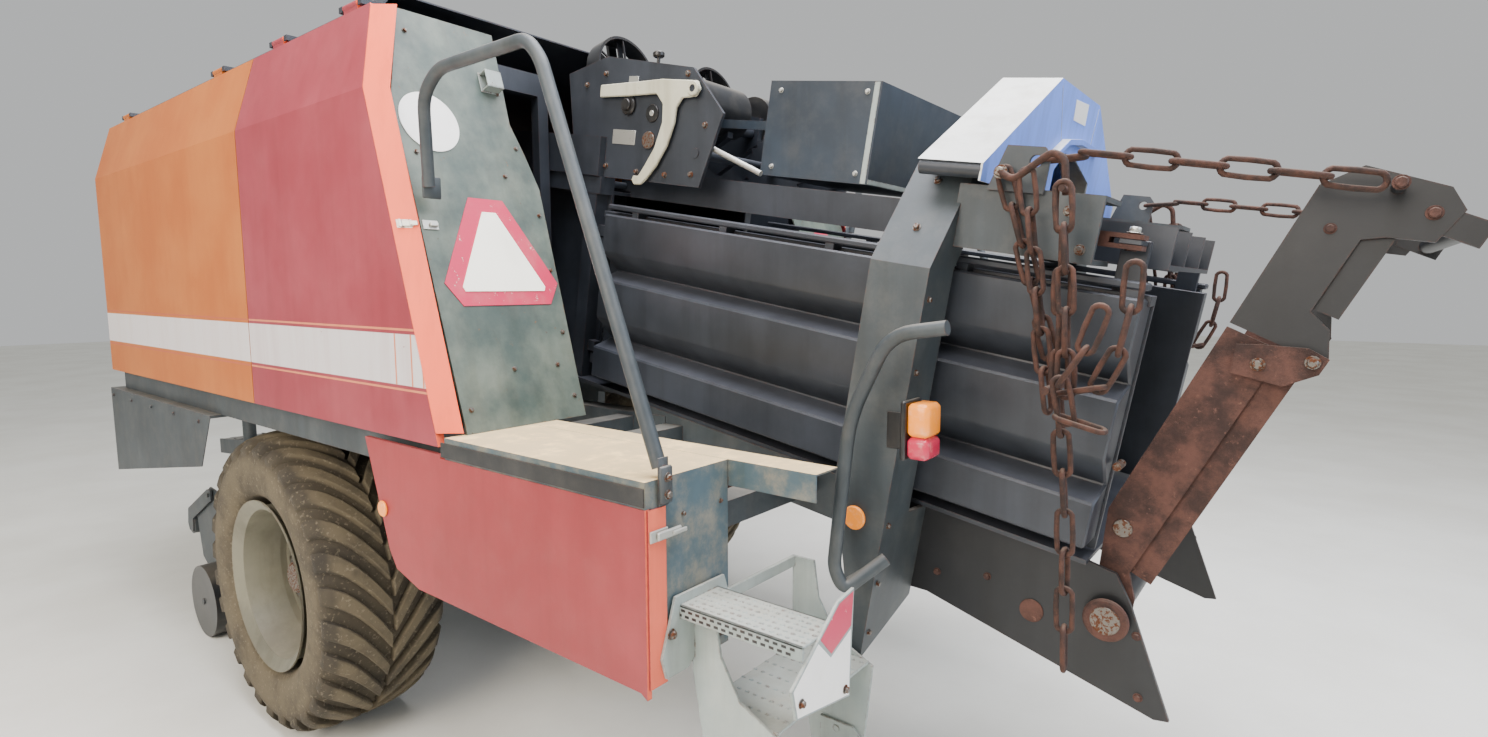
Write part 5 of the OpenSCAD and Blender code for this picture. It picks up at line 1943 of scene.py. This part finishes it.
@dataclass
class TailDress:
    """Sleeves and bolts on the pointed plates below the chamber, the chute and the clevises.

    Args:
        plate: Outer face of the pointed plates from the middle.
        pivot: The chute's pivot: x and z.
    """

    plate: float = 447
    pivot: tuple[float, float] = (-2995, 1048)

    def build(self, finishes: Finishes) -> None:
        """Models both sides.

        Args:
            finishes: The machine's finishes, by name.
        """
        rust, pins, chute, head = [], [], [], []
        pivot_x, pivot_z = self.pivot
        for side in Side:
            s, out = side.value, side.out
            rust.append(disc(at(-2817, s * (self.plate - 0.3), 1018), out, 30, 4))
            for x, z in ((-2560, 1060), (-2700, 1080), (-3070, 870), (-3060, 1020)):
                rust.append(bolt(at(x, s * self.plate, z), out, 15))
            rust.append(disc(at(pivot_x, s * 458, pivot_z), out, 52, 14, 32))
            pins.append(disc(at(pivot_x, s * 471, pivot_z), out, 34, 3, 24))
            pins.append(tube([CHAMBER.at(-14, s * y, 240) for y in (420, 470)], 10))
            for along, y, off in ((680, 419.3, -40), (730, 424, 40)):
                chute.append(bolt(CHUTE.at(along, s * y, off), out, 20))
            chute.append(disc(CHUTE.at(200, s * 406, -80), out, 22, 5))
            for along, y, off, across in ((1090, 500, -13, 20), (1068, 406, 60, 20), (980, 406, -70, 16)):
                head.append(bolt(CHUTE.at(along, s * y, off), out, across))
        assemble(rust, "tail_bolts", finishes["rusty_steel"], "machine")
        assemble(pins, "tail_pins", finishes["old_bolt"], "machine")
        assemble(chute, "chute_bolts", finishes["old_bolt"], "chute_lower")
        assemble(head, "chute_head_bolts", finishes["rusty_steel"], "chute_upper")
        up = CHAMBER.way(0, 0, 1)
        for side in Side:
            nuts = [bolt(CHAMBER.at(60, side.value * 488, 772), up, across) for across in (24, 14)]
            body = "density_rod_" + side.word
            assemble(nuts, "clevis_nut_" + side.word, finishes["zinc_plate"], body)


@dataclass
class FrontDress:
    """Pans below the front doors, pickup tines and the flywheel guard's bolts.

    Args:
        reel: The pickup reel's middle: x and z.
        tine: Radius over the tines.
        tine_rows: Rows of tines.
        tine_pitch: Distance from tine to tine.
        tine_reach: Where the outermost tines stand from the middle.
    """

    reel: tuple[float, float] = (1450, 400)
    tine: float = 268
    tine_rows: int = 4
    tine_pitch: int = 60
    tine_reach: int = 840

    def build(self, finishes: Finishes) -> None:
        """Models pans, tines and bolts.

        Args:
            finishes: The machine's finishes, by name.
        """
        pans = []
        for side in Side:
            space = side.mirror(GROUND)
            sheet = [(1930, 1290), (380, 1290), (530, 1057), (1930, 835)]
            pans += [side_plate(sheet, 1264, 1268, space),
                     block((380, 1180, 1288), (1930, 1268, 1300), space)]
            pans += [bolt(at(x, side.value * 1268, 1262), side.out, 13) for x in range(520, 1881, 340)]
        assemble(pans, "lower_pans", finishes["grey_frame_enamel"], "machine")
        tines = [self.bent_tine(row * 2 * math.pi / self.tine_rows + (0.2 if step % 2 else 0.1), y)
                 for row in range(self.tine_rows)
                 for step, y in enumerate(range(-self.tine_reach, self.tine_reach + 1, self.tine_pitch))]
        assemble(tines, "pickup_tines", finishes["rusty_steel"], "pickup_reel", 60)
        turns = [math.radians(degrees) for degrees in range(10, 171, 40)]
        rim = [bolt(at(2120, 350 * math.cos(turn), 1250 + 350 * math.sin(turn)), AHEAD, 14)
               for turn in turns]
        assemble(rim, "guard_bolts", finishes["zinc_plate"], "machine")

    def bent_tine(self, turn: float, y: float) -> bpy.types.Object:
        """A spring tine that trails at its tip, at an angle round the reel in radians.

        Args:
            turn: Angle round the reel, in radians.
            y: Its place across the machine.

        Returns:
            The tine.
        """
        x, z = self.reel
        ways = ((146, turn), (210, turn + 0.02), (self.tine, turn - 0.12))
        return tube([at(x + r * math.cos(a), y, z + r * math.sin(a)) for r, a in ways], 3.5, 20, 1)


@dataclass
class Lamps:
    """Combined rear lamps and round reflectors on both sides.

    Args:
        lens_x: The lenses' rear and front faces.
        lens_y: Their inner and outer faces.
        split: Height where amber meets red.
    """

    lens_x: tuple[float, float] = (-2680, -2626)
    lens_y: tuple[float, float] = (722, 800)
    split: float = 1502

    def build(self, finishes: Finishes) -> None:
        """Models lens halves, backs and reflectors over the CAD lights."""
        for side in Side:
            s, (rear, front), (inner, outer) = side.value, self.lens_x, self.lens_y
            for word, low, high in (("amber_lens", self.split, 1580), ("red_lens", 1450, self.split - 0.5)):
                lens = block((rear, s * inner, low), (front, s * outer, high), GROUND, 9)
                settle(soften(lens, 2, 1), f"{word}_{side.word}", finishes[word], "machine", 50)
            back = [block((front, s * 716, 1446), (-2613, s * 804, 1584), GROUND, 4),
                    block((-2621, s * 700.3, 1450), (-2530, s * 706, 1540)),
                    block((-2621, s * 700.3, 1455), (-2612, s * 740, 1540))]
            holder = assemble(back, "lamp_holder_" + side.word, finishes["black_enamel"], "machine",
                              40)
            discs = [disc(at(-2443, s * 700.6, 1255), side.out, 31, 11, 48),
                     disc(at(-1122, s * 1270.4, 1171), side.out, 25, 8, 48)]
            assemble(discs, "reflectors_" + side.word, finishes["amber_lens"], "machine", 40)
            if side is Side.LEFT:
                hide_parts("lights")


def main() -> None:
    """Builds the scene piece by piece."""
    logging.basicConfig(level=logging.INFO, format="%(message)s")
    random.seed(7)
    Studio().build()
    finishes = Finishes()
    LOG.info("finishes: %d", len(finishes.by_name))
    CarriedNodes(finishes).dress()
    for side in Side:
        Tyre(side).build(finishes["earthy_rubber"])
        LOG.info("tyre %s", side.word)
    for part in (WheelFittings(), Chains(), DensityWalls(), Handrails(), RearPanels(), DoorReturns(),
                 SkirtFittings(), Ladder(), TripArm(), KnotterDress(), ArchDress(), TailDress(), FrontDress(),
                 Lamps()):
        part.build(finishes)
        LOG.info("%s", type(part).__name__)


if __name__ == "__main__":
    main()
